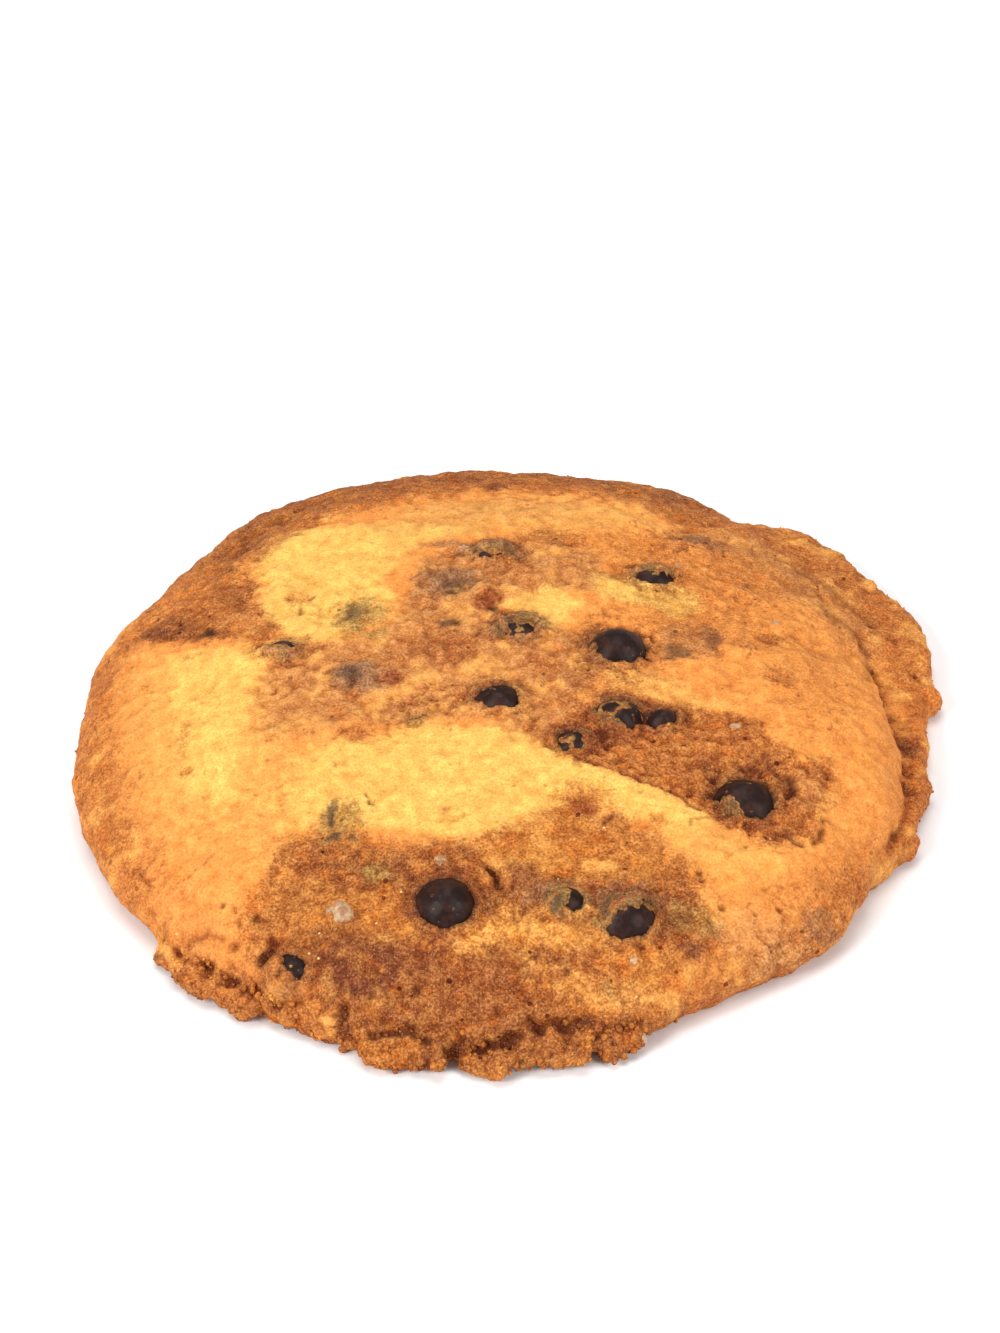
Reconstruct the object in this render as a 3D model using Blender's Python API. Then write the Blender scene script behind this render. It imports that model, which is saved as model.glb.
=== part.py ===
"""A baked chocolate chip cookie: a low marbled dome of dough that rests flat on z = 0.

The dough is one solid. Rings shaped by functions of the bearing give its dome, its foot and the frill
on its right. Crumbly lumps of the foot and sugar crystals are joined to it. Each chip that shows is an
object of its own and sits in a socket with a small gap. Lengths are in metres, bearings in degrees
anticlockwise from +X seen from above. Seen from the front, X runs to the right and Y to the back.
"""

import math
from collections import namedtuple

import bmesh
import bpy
from mathutils import Euler, Matrix, Vector, noise

DOME_RADIUS = 0.0495
DOME_HEIGHT = 0.0140
DOME_POWER = 2.6
RIM_HEIGHT = 0.0036
RIM_POWER = 0.57
RIM_POWER_OF_FADING_GROOVE = 0.95
UNDERCUT = 0.0018

FRILL_RADIUS = 0.0486
FRILL_HEIGHT = 0.0042
FRILL_JOIN_HEIGHT = 0.0056
LEDGE_RADIUS = 0.0496
LEDGE_HEIGHT = 0.0030
GROOVE_DEPTH = 0.0012
GROOVE_REACH = 0.0005
LEAST_FOOT_REACH = 0.0006
FOOT_TUCK = 0.0009
# Shares of the way out from the groove and up to the foot's top, then down its outer face.
FOOT_SLOPE = ((0.22, 0.35), (0.55, 0.75))
FOOT_FACE = ((0.88, 0.90), (1.00, 0.55), (0.95, 0.22))
RIM_SHARE_ON_FRILL = 0.5

SECTORS = 104
DOME_RINGS = 20
DOME_RING_BIAS = 1.35
SKIRT_RINGS = 7
BASE_RINGS = 2

WAVE_HEIGHT = 0.00045
WAVE_LENGTH = 0.0130
CRAG_HEIGHT = 0.00022
CRAG_LENGTH = 0.0042
RELIEF_FADE_AT_RIM = 0.06
STEP_END_SOFTNESS = 0.3
FOOT_CRAG_REACH = 0.00055
FOOT_CRAG_LENGTH = 0.0030

LUMP_RAGGED = 0.34
LUMP_RAGGED_LENGTH = 0.85
LUMP_NOISE_SPACING = 7.3

CHIP_GAP = 0.0003
CHIP_SIDES = 11
CHIP_RINGS = 8
CHIP_POINT = 0.22
CHIP_POINT_POWER = 6
CHIP_UNEVEN = 0.035
CHIP_NOISE_SCALE = 1.6
CHIP_NOISE_SPACING = 5.1
FLOOR_CLEARANCE = 0.0002

Swell = namedtuple("Swell", "place bearing half_width reach")
Window = namedtuple("Window", "start end soft")
Mound = namedtuple("Mound", "place x y half_x half_y height turn")
Step = namedtuple("Step", "place x0 y0 x1 y1 height soft reach")
Lump = namedtuple("Lump", "place x y wide deep high")
Chip = namedtuple("Chip", "name x y width stretch height shows turn tilt")
Crystal = namedtuple("Crystal", "place x y size turn")

DOME_SWELLS = (
    Swell("back left corner", 125, 14, 0.0031),
    Swell("back", 97, 19, 0.0026),
    Swell("back right", 63, 12, 0.0034),
    Swell("left shoulder", 164, 8, 0.0009),
    Swell("front left", 204, 17, 0.0005),
    Swell("right side behind the frill", 8, 30, -0.0052),
    Swell("front right flat", 330, 9, -0.0016),
    Swell("front", 275, 14, -0.0013),
    Swell("front right", 300, 9, -0.0019),
    Swell("front right corner", 311, 5, -0.0005),
)
FRILL_SWELLS = (
    Swell("back right corner", 45, 13, 0.0072),
    Swell("right corner", 23, 13, 0.0063),
    Swell("right", 6, 7, 0.0002),
    Swell("front end", 331, 6, -0.0012),
)
LEDGE_SWELLS = (
    Swell("left run", 229, 9, 0.0018),
    Swell("recess", 241, 2.5, -0.0016),
    Swell("lump run", 258, 8, 0.0006),
)

FRILL_WINDOW = Window(331, 414, 5)
LEDGE_WINDOW = Window(222, 264, 4)
LEDGE_GROOVE = Window(223, 240, 5)
FADING_GROOVE = Window(14, 60, 14)
FADED_SHARE = 0.95

# Raised and sunken places of the dome's top.
MOUNDS = (
    Mound("cover of a chip at the front right", 19.9, -39.4, 2.6, 2.0, 0.9, 0),
    Mound("cover of a chip at the left", -18.0, -25.1, 3.0, 3.0, 0.5, 0),
    Mound("cover of a chip left of the middle", -16.7, -1.6, 3.8, 2.6, 0.5, 0),
    Mound("cover of a chip at the back left", -17.3, 10.3, 2.6, 2.6, 0.4, 0),
    Mound("cover of a chip at the back", -6.9, 16.2, 2.8, 2.8, 0.4, 0),
    Mound("cover of a chip right of the middle", 22.5, 6.0, 3.8, 2.8, 0.5, 0),
    Mound("crumb over the second front chip", 3.6, -34.4, 2.6, 2.2, 0.7, 0),
    Mound("crumb over the third front chip", 11.2, -34.2, 2.8, 2.2, 0.8, 0),
    Mound("hollow of the right chip", 25.4, -20.6, 5.6, 4.6, -0.9, 0),
    Mound("crumb right of the right chip", 31.6, -20.4, 2.6, 3.4, 0.9, 0),
    Mound("hollow of the middle chips", 13.0, -10.5, 5.5, 4.5, -0.5, 0),
    Mound("valley beside the first front chip", -0.2, -34.6, 1.5, 4.6, -0.8, 25),
    Mound("fold above the front tongue", 0.2, -45.6, 4.0, 0.9, -0.9, -8),
    Mound("swell at the back left", -24.0, 26.0, 9.0, 7.0, 0.6, 0),
    Mound("swell at the right", 33.0, -4.0, 7.0, 9.0, 0.7, 0),
    Mound("swell at the left", -33.0, -10.0, 9.0, 12.0, 0.5, 0),
    Mound("dip left of the middle", -13.0, -7.0, 7.0, 6.0, -0.6, 0),
    Mound("inner wrinkle on the right", 40.6, 13.0, 1.0, 7.0, -0.7, 12),
    Mound("outer wrinkle on the right", 45.0, 22.0, 1.0, 8.0, -0.6, 22),
    Mound("wrinkle at the back right", 37.5, 30.0, 1.1, 8.0, -0.6, 38),
    Mound("dent behind the rim at the back left", -29.0, 33.5, 1.4, 9.0, -0.7, -42),
)

# Edges where one fold of dough lies over the next. The side to the left of the run is the high one.
STEPS = (
    Step("middle fold", 23.2, -22.7, 2.0, -12.3, 0.45, 0.8, 5.0),
    Step("left fold", -27.0, 3.6, -43.2, 11.2, 0.40, 0.8, 6.0),
)

# Crumbly lumps round the foot.
LUMPS = (
    Lump("left lump, outer", -13.2, -48.3, 4.4, 4.8, 3.0),
    Lump("left lump, middle", -10.6, -48.9, 4.2, 5.0, 2.7),
    Lump("left lump, inner", -7.8, -49.2, 4.8, 5.0, 3.3),
    Lump("middle lump, outer", -3.3, -49.1, 4.4, 4.8, 2.7),
    Lump("middle lump, tip", -0.7, -49.6, 4.4, 5.0, 3.0),
    Lump("middle lump, crumb", 2.0, -48.8, 4.2, 5.0, 3.5),
    Lump("middle lump, crown", 4.5, -48.3, 4.4, 5.2, 4.3),
    Lump("middle lump, end", 7.2, -48.0, 4.0, 5.0, 4.1),
    Lump("right lump, inner", 10.8, -47.2, 4.0, 4.6, 3.6),
    Lump("right lump, outer", 13.0, -46.3, 3.6, 4.4, 3.5),
    Lump("tongue under the fold", -1.6, -47.0, 8.0, 4.8, 5.6),
    Lump("ledge tip", -36.4, -34.4, 3.2, 3.0, 2.8),
    Lump("ledge crumb at the left", -34.2, -37.0, 3.6, 3.2, 3.0),
    Lump("ledge crumb", -31.4, -39.2, 4.2, 3.4, 3.2),
    Lump("ledge end", -27.0, -42.3, 3.8, 3.4, 3.3),
    Lump("face after the recess", -22.2, -43.6, 4.0, 3.0, 3.6),
    Lump("face crumb", -18.6, -45.0, 4.4, 3.2, 3.4),
    Lump("face crumb by the left lump", -15.6, -45.8, 3.6, 3.0, 4.6),
    Lump("frill crumb at the right", 50.2, 8.8, 3.0, 4.2, 3.6),
    Lump("frill tooth", 47.4, -7.6, 3.0, 5.0, 3.4),
    Lump("frill tooth at the front", 44.7, -16.8, 3.2, 4.4, 3.2),
)

# Each chip's width is its real width, and shows is the width of what stands clear of the dough.
CHIPS = (
    Chip("chip_front_round", -6.2, -36.2, 6.6, 1.00, 4.8, 6.2, 15, 8),
    Chip("chip_front_crumbed", 6.3, -35.6, 5.6, 0.80, 4.2, 3.6, -10, 20),
    Chip("chip_front_crescent", 12.6, -37.1, 7.0, 0.82, 4.6, 6.0, 18, 14),
    Chip("chip_right", 26.1, -19.8, 7.4, 0.92, 5.0, 6.9, -12, 10),
    Chip("chip_back_large", 12.8, 3.4, 7.2, 0.90, 4.8, 6.8, 20, 12),
    Chip("chip_middle_crescent", 12.6, -8.1, 5.8, 0.90, 4.4, 5.2, -15, 15),
    Chip("chip_middle_small", 17.6, -8.5, 3.8, 0.80, 3.4, 3.3, 20, 8),
    Chip("chip_middle_toasted", 7.6, -13.0, 5.4, 0.80, 4.2, 4.4, 10, 10),
    Chip("chip_centre", -0.8, -5.8, 6.4, 0.82, 4.4, 4.9, -8, 15),
    Chip("chip_left_edge", -25.6, 3.9, 6.2, 0.80, 4.2, 3.0, 25, 12),
    Chip("chip_behind_centre", 1.4, 6.8, 6.4, 0.80, 4.2, 4.6, 5, 14),
    Chip("chip_back_right", 17.4, 19.0, 6.4, 0.80, 4.2, 4.4, -6, 10),
    Chip("chip_back_streak", -1.6, 22.4, 6.6, 0.78, 4.2, 4.2, 4, 10),
    Chip("chip_foot_left", -22.2, -41.0, 5.6, 0.86, 4.0, 3.0, 30, 24),
)

CRYSTALS = (
    Crystal("by the front round chip", -16.8, -37.3, 2.2, 20),
    Crystal("behind the front round chip", -6.8, -31.2, 1.4, 55),
    Crystal("front slope", 13.5, -42.2, 1.0, 10),
    Crystal("right of the middle", 25.6, -9.4, 1.4, 35),
    Crystal("back streak", -4.9, 23.4, 1.5, 70),
)
TIP_CRYSTAL_PLACE = Vector((0.0144, -0.0470, 0.0017))
TIP_CRYSTAL_SIZE = 0.0011

CRYSTAL_SHAPE = Vector((1.0, 0.8, 0.7))
CRYSTAL_BEVEL = 0.2
CRYSTAL_TILT = 23
CRYSTAL_ROLL = 17
TIP_CRYSTAL_TURN = 30

MM = 0.001


def swell_at(bearing, swells):
    """The sum of all swells at a bearing, each a smooth bell round its own."""
    total = 0.0
    for swell in swells:
        away = (bearing - swell.bearing + 180) % 360 - 180
        total += swell.reach * math.exp(-((away / swell.half_width) ** 2))
    return total


def smooth(share):
    share = min(max(share, 0.0), 1.0)
    return share * share * (3 - 2 * share)


def inside(bearing, window):
    """1 within a window of bearings, 0 outside it, with soft ends."""
    turn = (bearing - window.start) % 360
    if turn > 180 + (window.end - window.start) / 2:
        turn -= 360
    rise = smooth((turn + window.soft / 2) / window.soft)
    fall = smooth((window.end - window.start + window.soft / 2 - turn) / window.soft)
    return rise * fall


def blend(low, high, share):
    return low + (high - low) * share


def dome_radius(bearing):
    return DOME_RADIUS + swell_at(bearing, DOME_SWELLS)


def foot_radius(bearing):
    ledge = LEDGE_RADIUS + swell_at(bearing, LEDGE_SWELLS)
    frill = FRILL_RADIUS + swell_at(bearing, FRILL_SWELLS)
    return blend(ledge, frill, inside(bearing, FRILL_WINDOW))


def rim_height(bearing):
    frill = inside(bearing, FRILL_WINDOW)
    share = frill * max(inside(bearing, FADING_GROOVE), RIM_SHARE_ON_FRILL)
    return blend(RIM_HEIGHT, FRILL_JOIN_HEIGHT, share)


def dome_height(x, y):
    """The height of the smooth dome above a place, before its folds and mounds."""
    bearing = math.degrees(math.atan2(y, x)) % 360
    share = min(math.hypot(x, y) / dome_radius(bearing), 1.0)
    rim = rim_height(bearing)
    power = blend(RIM_POWER, RIM_POWER_OF_FADING_GROOVE, inside(bearing, FADING_GROOVE))
    return rim + (DOME_HEIGHT - rim) * (1 - share**DOME_POWER) ** power


def relief(x, y):
    """What mounds, folds and the unevenness of baking add to the dome's height at a place."""
    added = 0.0
    for mound in MOUNDS:
        turn = math.radians(mound.turn)
        dx = x / MM - mound.x
        dy = y / MM - mound.y
        along = (dx * math.cos(turn) + dy * math.sin(turn)) / mound.half_x
        across = (dy * math.cos(turn) - dx * math.sin(turn)) / mound.half_y
        added += mound.height * MM * math.exp(-(along**2) - across**2)
    for step in STEPS:
        run = Vector((step.x1 - step.x0, step.y1 - step.y0))
        from_start = Vector((x / MM - step.x0, y / MM - step.y0))
        along = from_start.dot(run.normalized()) / run.length
        side = run.normalized().cross(from_start)
        ends = smooth(along / STEP_END_SOFTNESS + 0.5) * smooth((1 - along) / STEP_END_SOFTNESS + 0.5)
        drop = side * math.exp(-((side / step.reach) ** 2)) / (abs(side) + step.soft)
        added += step.height * MM * ends * drop
    place = Vector((x, y, 0))
    added += WAVE_HEIGHT * noise.noise(place / WAVE_LENGTH)
    added += CRAG_HEIGHT * noise.noise(place / CRAG_LENGTH)
    return added


def top_height(x, y):
    bearing = math.degrees(math.atan2(y, x)) % 360
    share = min(math.hypot(x, y) / dome_radius(bearing), 1.0)
    return dome_height(x, y) + relief(x, y) * smooth((1 - share) / RELIEF_FADE_AT_RIM)


def foot_stations(bearing):
    """(reach, height) pairs from just under the dome's edge down to the floor, where the foot stands out."""
    edge = dome_radius(bearing)
    foot = foot_radius(bearing)
    frill = inside(bearing, FRILL_WINDOW)
    rim = rim_height(bearing)
    sharp = max(frill * (1 - FADED_SHARE * inside(bearing, FADING_GROOVE)), inside(bearing, LEDGE_GROOVE))
    top = blend(blend(rim, LEDGE_HEIGHT, inside(bearing, LEDGE_GROOVE)), FRILL_HEIGHT, frill)
    groove = rim - GROOVE_DEPTH * sharp
    angle = math.radians(bearing)
    rough = noise.noise(Vector((math.cos(angle), math.sin(angle), 0)) * foot / FOOT_CRAG_LENGTH)
    foot += FOOT_CRAG_REACH * rough
    out = max(foot - edge, LEAST_FOOT_REACH)
    slope = tuple((edge + share * out, blend(groove, top, rise)) for share, rise in FOOT_SLOPE)
    face = tuple((edge + share * out, top * height) for share, height in FOOT_FACE)
    return ((edge - GROOVE_REACH * sharp, groove), *slope, *face, (edge + out - FOOT_TUCK, 0.0))


def plain_stations(bearing):
    """The same number of pairs for a side with no foot, which curls under a little."""
    edge = dome_radius(bearing)
    rim = rim_height(bearing)
    shares = [(i + 1) / SKIRT_RINGS for i in range(SKIRT_RINGS)]
    return tuple((edge - UNDERCUT * share**2, rim * (1 - share)) for share in shares)


def skirt_station(bearing, index):
    foot = max(inside(bearing, FRILL_WINDOW), inside(bearing, LEDGE_WINDOW))
    plain_reach, plain_height = plain_stations(bearing)[index]
    foot_reach, foot_height = foot_stations(bearing)[index]
    return blend(plain_reach, foot_reach, foot), blend(plain_height, foot_height, foot)


def ring_place(ring, bearing):
    """Where a ring of the ball goes at a bearing, from the top of the dome to the middle of the base."""
    angle = math.radians(bearing)
    if ring <= DOME_RINGS:
        share = 1 - (1 - ring / DOME_RINGS) ** DOME_RING_BIAS
        reach = dome_radius(bearing) * share
        x = reach * math.cos(angle)
        y = reach * math.sin(angle)
        return Vector((x, y, top_height(x, y)))
    if ring <= DOME_RINGS + SKIRT_RINGS:
        reach, height = skirt_station(bearing, ring - DOME_RINGS - 1)
    else:
        left = 1 - (ring - DOME_RINGS - SKIRT_RINGS) / (BASE_RINGS + 1)
        reach = skirt_station(bearing, SKIRT_RINGS - 1)[0] * left
        height = 0.0
    return Vector((reach * math.cos(angle), reach * math.sin(angle), height))


def object_of(mesh_builder, name):
    """A new object from a bmesh, shaded smooth."""
    mesh = bpy.data.meshes.new(name)
    mesh_builder.to_mesh(mesh)
    mesh_builder.free()
    mesh.shade_smooth()
    obj = bpy.data.objects.new(name, mesh)
    bpy.context.scene.collection.objects.link(obj)
    return obj


def dough_body():
    """A ball whose rings are laid out as the dome, the skirt and the base of the cookie."""
    rings = DOME_RINGS + SKIRT_RINGS + BASE_RINGS + 1
    ball = bmesh.new()
    bmesh.ops.create_uvsphere(ball, u_segments=SECTORS, v_segments=rings, radius=1.0)
    for vertex in ball.verts:
        ring = round(math.acos(max(-1.0, min(1.0, vertex.co.z))) / math.pi * rings)
        sector = round(math.degrees(math.atan2(vertex.co.y, vertex.co.x)) / 360 * SECTORS)
        bearing = sector % SECTORS * 360 / SECTORS if 0 < ring < rings else 0.0
        vertex.co = ring_place(ring, bearing)
    bmesh.ops.recalc_face_normals(ball, faces=ball.faces)
    return object_of(ball, "dough")


def ragged(builder, height, length, offset):
    """Pushes each point in or out from the middle by noise."""
    for vertex in builder.verts:
        vertex.co *= 1 + height * noise.noise(vertex.co / length + Vector((offset, 0, 0)))


def lump_object(lump, index):
    """A crumbly lump that stands on the floor."""
    builder = bmesh.new()
    bmesh.ops.create_icosphere(builder, subdivisions=2, radius=1.0)
    ragged(builder, LUMP_RAGGED, LUMP_RAGGED_LENGTH, index * LUMP_NOISE_SPACING)
    size = Vector((lump.wide, lump.deep, lump.high)) * MM / 2
    bmesh.ops.scale(builder, vec=size, verts=builder.verts)
    bmesh.ops.translate(builder, vec=Vector((lump.x * MM, lump.y * MM, size.z)), verts=builder.verts)
    for vertex in builder.verts:
        vertex.co.z = max(vertex.co.z, FLOOR_CLEARANCE)
    return object_of(builder, f"lump_{index:02d}")


def crystal_object(place, size, turn, index):
    """A blunt grain of sugar."""
    builder = bmesh.new()
    bmesh.ops.create_cube(builder, size=size)
    bmesh.ops.scale(builder, vec=CRYSTAL_SHAPE, verts=builder.verts)
    bmesh.ops.bevel(builder, geom=builder.verts[:], offset=size * CRYSTAL_BEVEL, segments=1, affect="VERTICES")
    lie = Euler([math.radians(degrees) for degrees in (CRYSTAL_TILT, CRYSTAL_ROLL, turn)])
    bmesh.ops.rotate(builder, matrix=lie.to_matrix(), verts=builder.verts)
    bmesh.ops.translate(builder, vec=place, verts=builder.verts)
    return object_of(builder, f"crystal_{index:02d}")


def chip_object(chip, index, grown, name):
    """A chip softened by baking: round below, bluntly pointed above, and sunk until only its cap shows."""
    builder = bmesh.new()
    bmesh.ops.create_uvsphere(builder, u_segments=CHIP_SIDES, v_segments=CHIP_RINGS, radius=1.0)
    for vertex in builder.verts:
        point = max(vertex.co.z, 0.0)
        vertex.co.z += CHIP_POINT * point**CHIP_POINT_POWER
        offset = Vector((0, index * CHIP_NOISE_SPACING, 0))
        vertex.co *= 1 + CHIP_UNEVEN * noise.noise(vertex.co * CHIP_NOISE_SCALE + offset)
    half = Vector((chip.width, chip.width * chip.stretch, chip.height)) * MM / 2 + Vector((grown,) * 3)
    bmesh.ops.scale(builder, vec=half, verts=builder.verts)
    lean = Matrix.Rotation(math.radians(chip.tilt), 3, "X")
    turn = Matrix.Rotation(math.radians(chip.turn), 3, "Z")
    bmesh.ops.rotate(builder, matrix=turn @ lean, verts=builder.verts)
    shows = min(chip.shows / chip.width, 0.999)
    sunk = chip.height * MM / 2 * math.sqrt(1 - shows**2)
    x = chip.x * MM
    y = chip.y * MM
    place = Vector((x, y, top_height(x, y) - sunk))
    bmesh.ops.translate(builder, vec=place, verts=builder.verts)
    bmesh.ops.recalc_face_normals(builder, faces=builder.faces)
    return object_of(builder, name)


def boolean_with(target, others, operation):
    """Applies one Boolean with a collection of objects, then removes those objects."""
    group = bpy.data.collections.new(operation.lower())
    bpy.context.scene.collection.children.link(group)
    for other in others:
        bpy.context.scene.collection.objects.unlink(other)
        group.objects.link(other)
    joining = target.modifiers.new(operation.lower(), "BOOLEAN")
    joining.operation = operation
    joining.operand_type = "COLLECTION"
    joining.collection = group
    joining.solver = "EXACT"
    bpy.ops.object.select_all(action="DESELECT")
    target.select_set(True)
    bpy.context.view_layer.objects.active = target
    bpy.ops.object.modifier_apply(modifier=joining.name)
    for other in others:
        bpy.data.objects.remove(other)
    bpy.data.collections.remove(group)


def keep_largest_shell(obj):
    """Drops loose scrap and fills sealed hollows, so that one closed shell is left."""
    builder = bmesh.new()
    builder.from_mesh(obj.data)
    left = set(builder.verts)
    shells = []
    while left:
        reached = {left.pop()}
        front = list(reached)
        while front:
            for edge in front.pop().link_edges:
                for vertex in edge.verts:
                    if vertex in left:
                        left.discard(vertex)
                        reached.add(vertex)
                        front.append(vertex)
        shells.append(reached)
    shells.sort(key=len)
    scrap = [vertex for shell in shells[:-1] for vertex in shell]
    bmesh.ops.delete(builder, geom=scrap, context="VERTS")
    bmesh.ops.triangulate(builder, faces=builder.faces)
    builder.to_mesh(obj.data)
    builder.free()


def centre_shift(objects):
    """The move that brings the middle of the box of all objects over the origin, with the base on z = 0."""
    places = [vertex.co for obj in objects for vertex in obj.data.vertices]
    low = [min(place[axis] for place in places) for axis in range(3)]
    high = [max(place[axis] for place in places) for axis in range(3)]
    return Vector((-(low[0] + high[0]) / 2, -(low[1] + high[1]) / 2, -low[2]))


def material(name, colour, roughness):
    made = bpy.data.materials.new(name)
    made.use_nodes = True
    shader = made.node_tree.nodes["Principled BSDF"]
    shader.inputs["Base Color"].default_value = (*colour, 1.0)
    shader.inputs["Roughness"].default_value = roughness
    shader.inputs["Metallic"].default_value = 0.0
    made.diffuse_color = (*colour, 1.0)
    return made


def main():
    for obj in list(bpy.data.objects):
        bpy.data.objects.remove(obj)

    dough = dough_body()
    bits = [lump_object(lump, index) for index, lump in enumerate(LUMPS)]
    for index, crystal in enumerate(CRYSTALS):
        x = crystal.x * MM
        y = crystal.y * MM
        place = Vector((x, y, top_height(x, y)))
        bits.append(crystal_object(place, crystal.size * MM, crystal.turn, index))
    bits.append(crystal_object(TIP_CRYSTAL_PLACE, TIP_CRYSTAL_SIZE, TIP_CRYSTAL_TURN, len(CRYSTALS)))
    boolean_with(dough, bits, "UNION")

    cutters = [chip_object(chip, index, CHIP_GAP, f"socket_{index:02d}") for index, chip in enumerate(CHIPS)]
    boolean_with(dough, cutters, "DIFFERENCE")
    keep_largest_shell(dough)

    chips = [chip_object(chip, index, 0.0, chip.name) for index, chip in enumerate(CHIPS)]
    shift = centre_shift([dough] + chips)
    baked = material("baked dough", (0.67, 0.30, 0.09), 0.85)
    chocolate = material("chocolate", (0.045, 0.024, 0.020), 0.45)
    for obj in [dough] + chips:
        obj.data.transform(Matrix.Translation(shift))
        obj.data.materials.append(baked if obj is dough else chocolate)


main()
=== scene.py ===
"""The looks of a baked chocolate chip cookie, built round its solids.

The crust, each chip, the sugar grains and the crumb that clings to the foot are pieces of their own.
A place on the cookie is given in its plan, in millimetres from its middle, with x to the right and y to the
back. The relief of the crust and the chips is in millimetres too. The finishes and the studio are in metres.
"""

import logging
import math
import random
from dataclasses import dataclass, field
from enum import Enum

import bpy
import numpy as np
from mathutils import Euler, Matrix, Vector, noise
from mathutils.bvhtree import BVHTree
from mathutils.kdtree import KDTree


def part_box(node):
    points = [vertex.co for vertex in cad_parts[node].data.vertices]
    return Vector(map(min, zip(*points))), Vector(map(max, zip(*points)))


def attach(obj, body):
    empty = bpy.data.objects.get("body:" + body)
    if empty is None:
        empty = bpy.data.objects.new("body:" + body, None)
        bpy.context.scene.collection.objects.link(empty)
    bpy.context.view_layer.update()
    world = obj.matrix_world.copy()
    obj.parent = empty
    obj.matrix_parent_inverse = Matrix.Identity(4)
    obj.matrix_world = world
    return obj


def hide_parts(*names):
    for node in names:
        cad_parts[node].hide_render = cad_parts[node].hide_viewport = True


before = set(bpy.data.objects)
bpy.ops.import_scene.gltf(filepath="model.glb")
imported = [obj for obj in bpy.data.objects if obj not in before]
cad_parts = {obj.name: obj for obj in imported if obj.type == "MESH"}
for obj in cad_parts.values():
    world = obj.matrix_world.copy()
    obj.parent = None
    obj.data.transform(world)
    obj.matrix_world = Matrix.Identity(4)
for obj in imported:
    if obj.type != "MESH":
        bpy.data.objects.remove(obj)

MM = 0.001
MIX_COLOUR_A, MIX_COLOUR_B, MIX_COLOUR_OUT = 6, 7, 2
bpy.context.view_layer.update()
LOG = logging.getLogger("cookie")

Place = tuple[float, float]
Colour = tuple[float, float, float]
Socket = bpy.types.NodeSocket
Piece = bpy.types.Object


@dataclass(frozen=True)
class Shade:
    """A colour in linear light, with how strongly its grain shows."""

    colour: Colour
    grain: float


class Tone(Enum):
    """Colours of the baked dough and of what lies on it."""

    PALE = Shade((0.845, 0.470, 0.106), 0.34)
    GOLD = Shade((0.800, 0.358, 0.080), 0.35)
    ORANGE = Shade((0.790, 0.284, 0.060), 0.38)
    EDGE = Shade((0.620, 0.210, 0.046), 0.44)
    TAN = Shade((0.550, 0.215, 0.060), 0.60)
    OCHRE = Shade((0.660, 0.265, 0.054), 0.92)
    AMBER = Shade((0.520, 0.180, 0.034), 0.95)
    SIENNA = Shade((0.420, 0.126, 0.027), 1.05)
    RUSSET = Shade((0.500, 0.138, 0.026), 0.70)
    BROWN = Shade((0.300, 0.088, 0.021), 1.30)
    RUST = Shade((0.270, 0.056, 0.014), 1.00)
    UMBER = Shade((0.180, 0.047, 0.016), 1.25)
    OLIVE = Shade((0.330, 0.180, 0.048), 1.00)
    SMOKE = Shade((0.270, 0.122, 0.056), 0.95)
    SLATE = Shade((0.075, 0.040, 0.024), 0.70)
    CHOC = Shade((0.034, 0.012, 0.007), 0.50)
    BASE = Shade((0.380, 0.120, 0.032), 1.05)
    CREAM = Shade((0.800, 0.520, 0.220), 0.40)


@dataclass(frozen=True)
class Patch:
    """A stretch of dough of one tone: its outline in the plan, how softly it ends and how craggy it is.

    Soft and crags are in millimetres.
    """

    name: str
    tone: Tone
    soft: float
    outline: tuple[Place, ...]
    crags: float = 0.0


@dataclass(frozen=True)
class Dab:
    """A small oval stain: its middle, its half widths and its strength."""

    name: str
    tone: Tone
    x: float
    y: float
    half_x: float
    half_y: float
    strength: float


@dataclass(frozen=True)
class RimBake:
    """A stretch of the rim that browned.

    The four bearings, in degrees anticlockwise from the right, say where it begins, is full, is last full and
    ends. The two reaches, in millimetres from the middle, say where it begins and is full.
    """

    name: str
    tone: Tone
    bearings: tuple[float, float, float, float]
    reaches: tuple[float, float]
    strength: float


@dataclass(frozen=True)
class Slit:
    """A crack or crease along a path in the plan: its width and depth in millimetres, and the shade painted
    in it.
    """

    name: str
    path: tuple[Place, ...]
    width: float
    depth: float
    # How strongly shade is painted along the slit, from 0 to 1.
    stain: float


@dataclass(frozen=True)
class Pit:
    """A pinhole in the crust: its middle, its radius and its depth in millimetres."""

    x: float
    y: float
    radius: float
    depth: float


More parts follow.
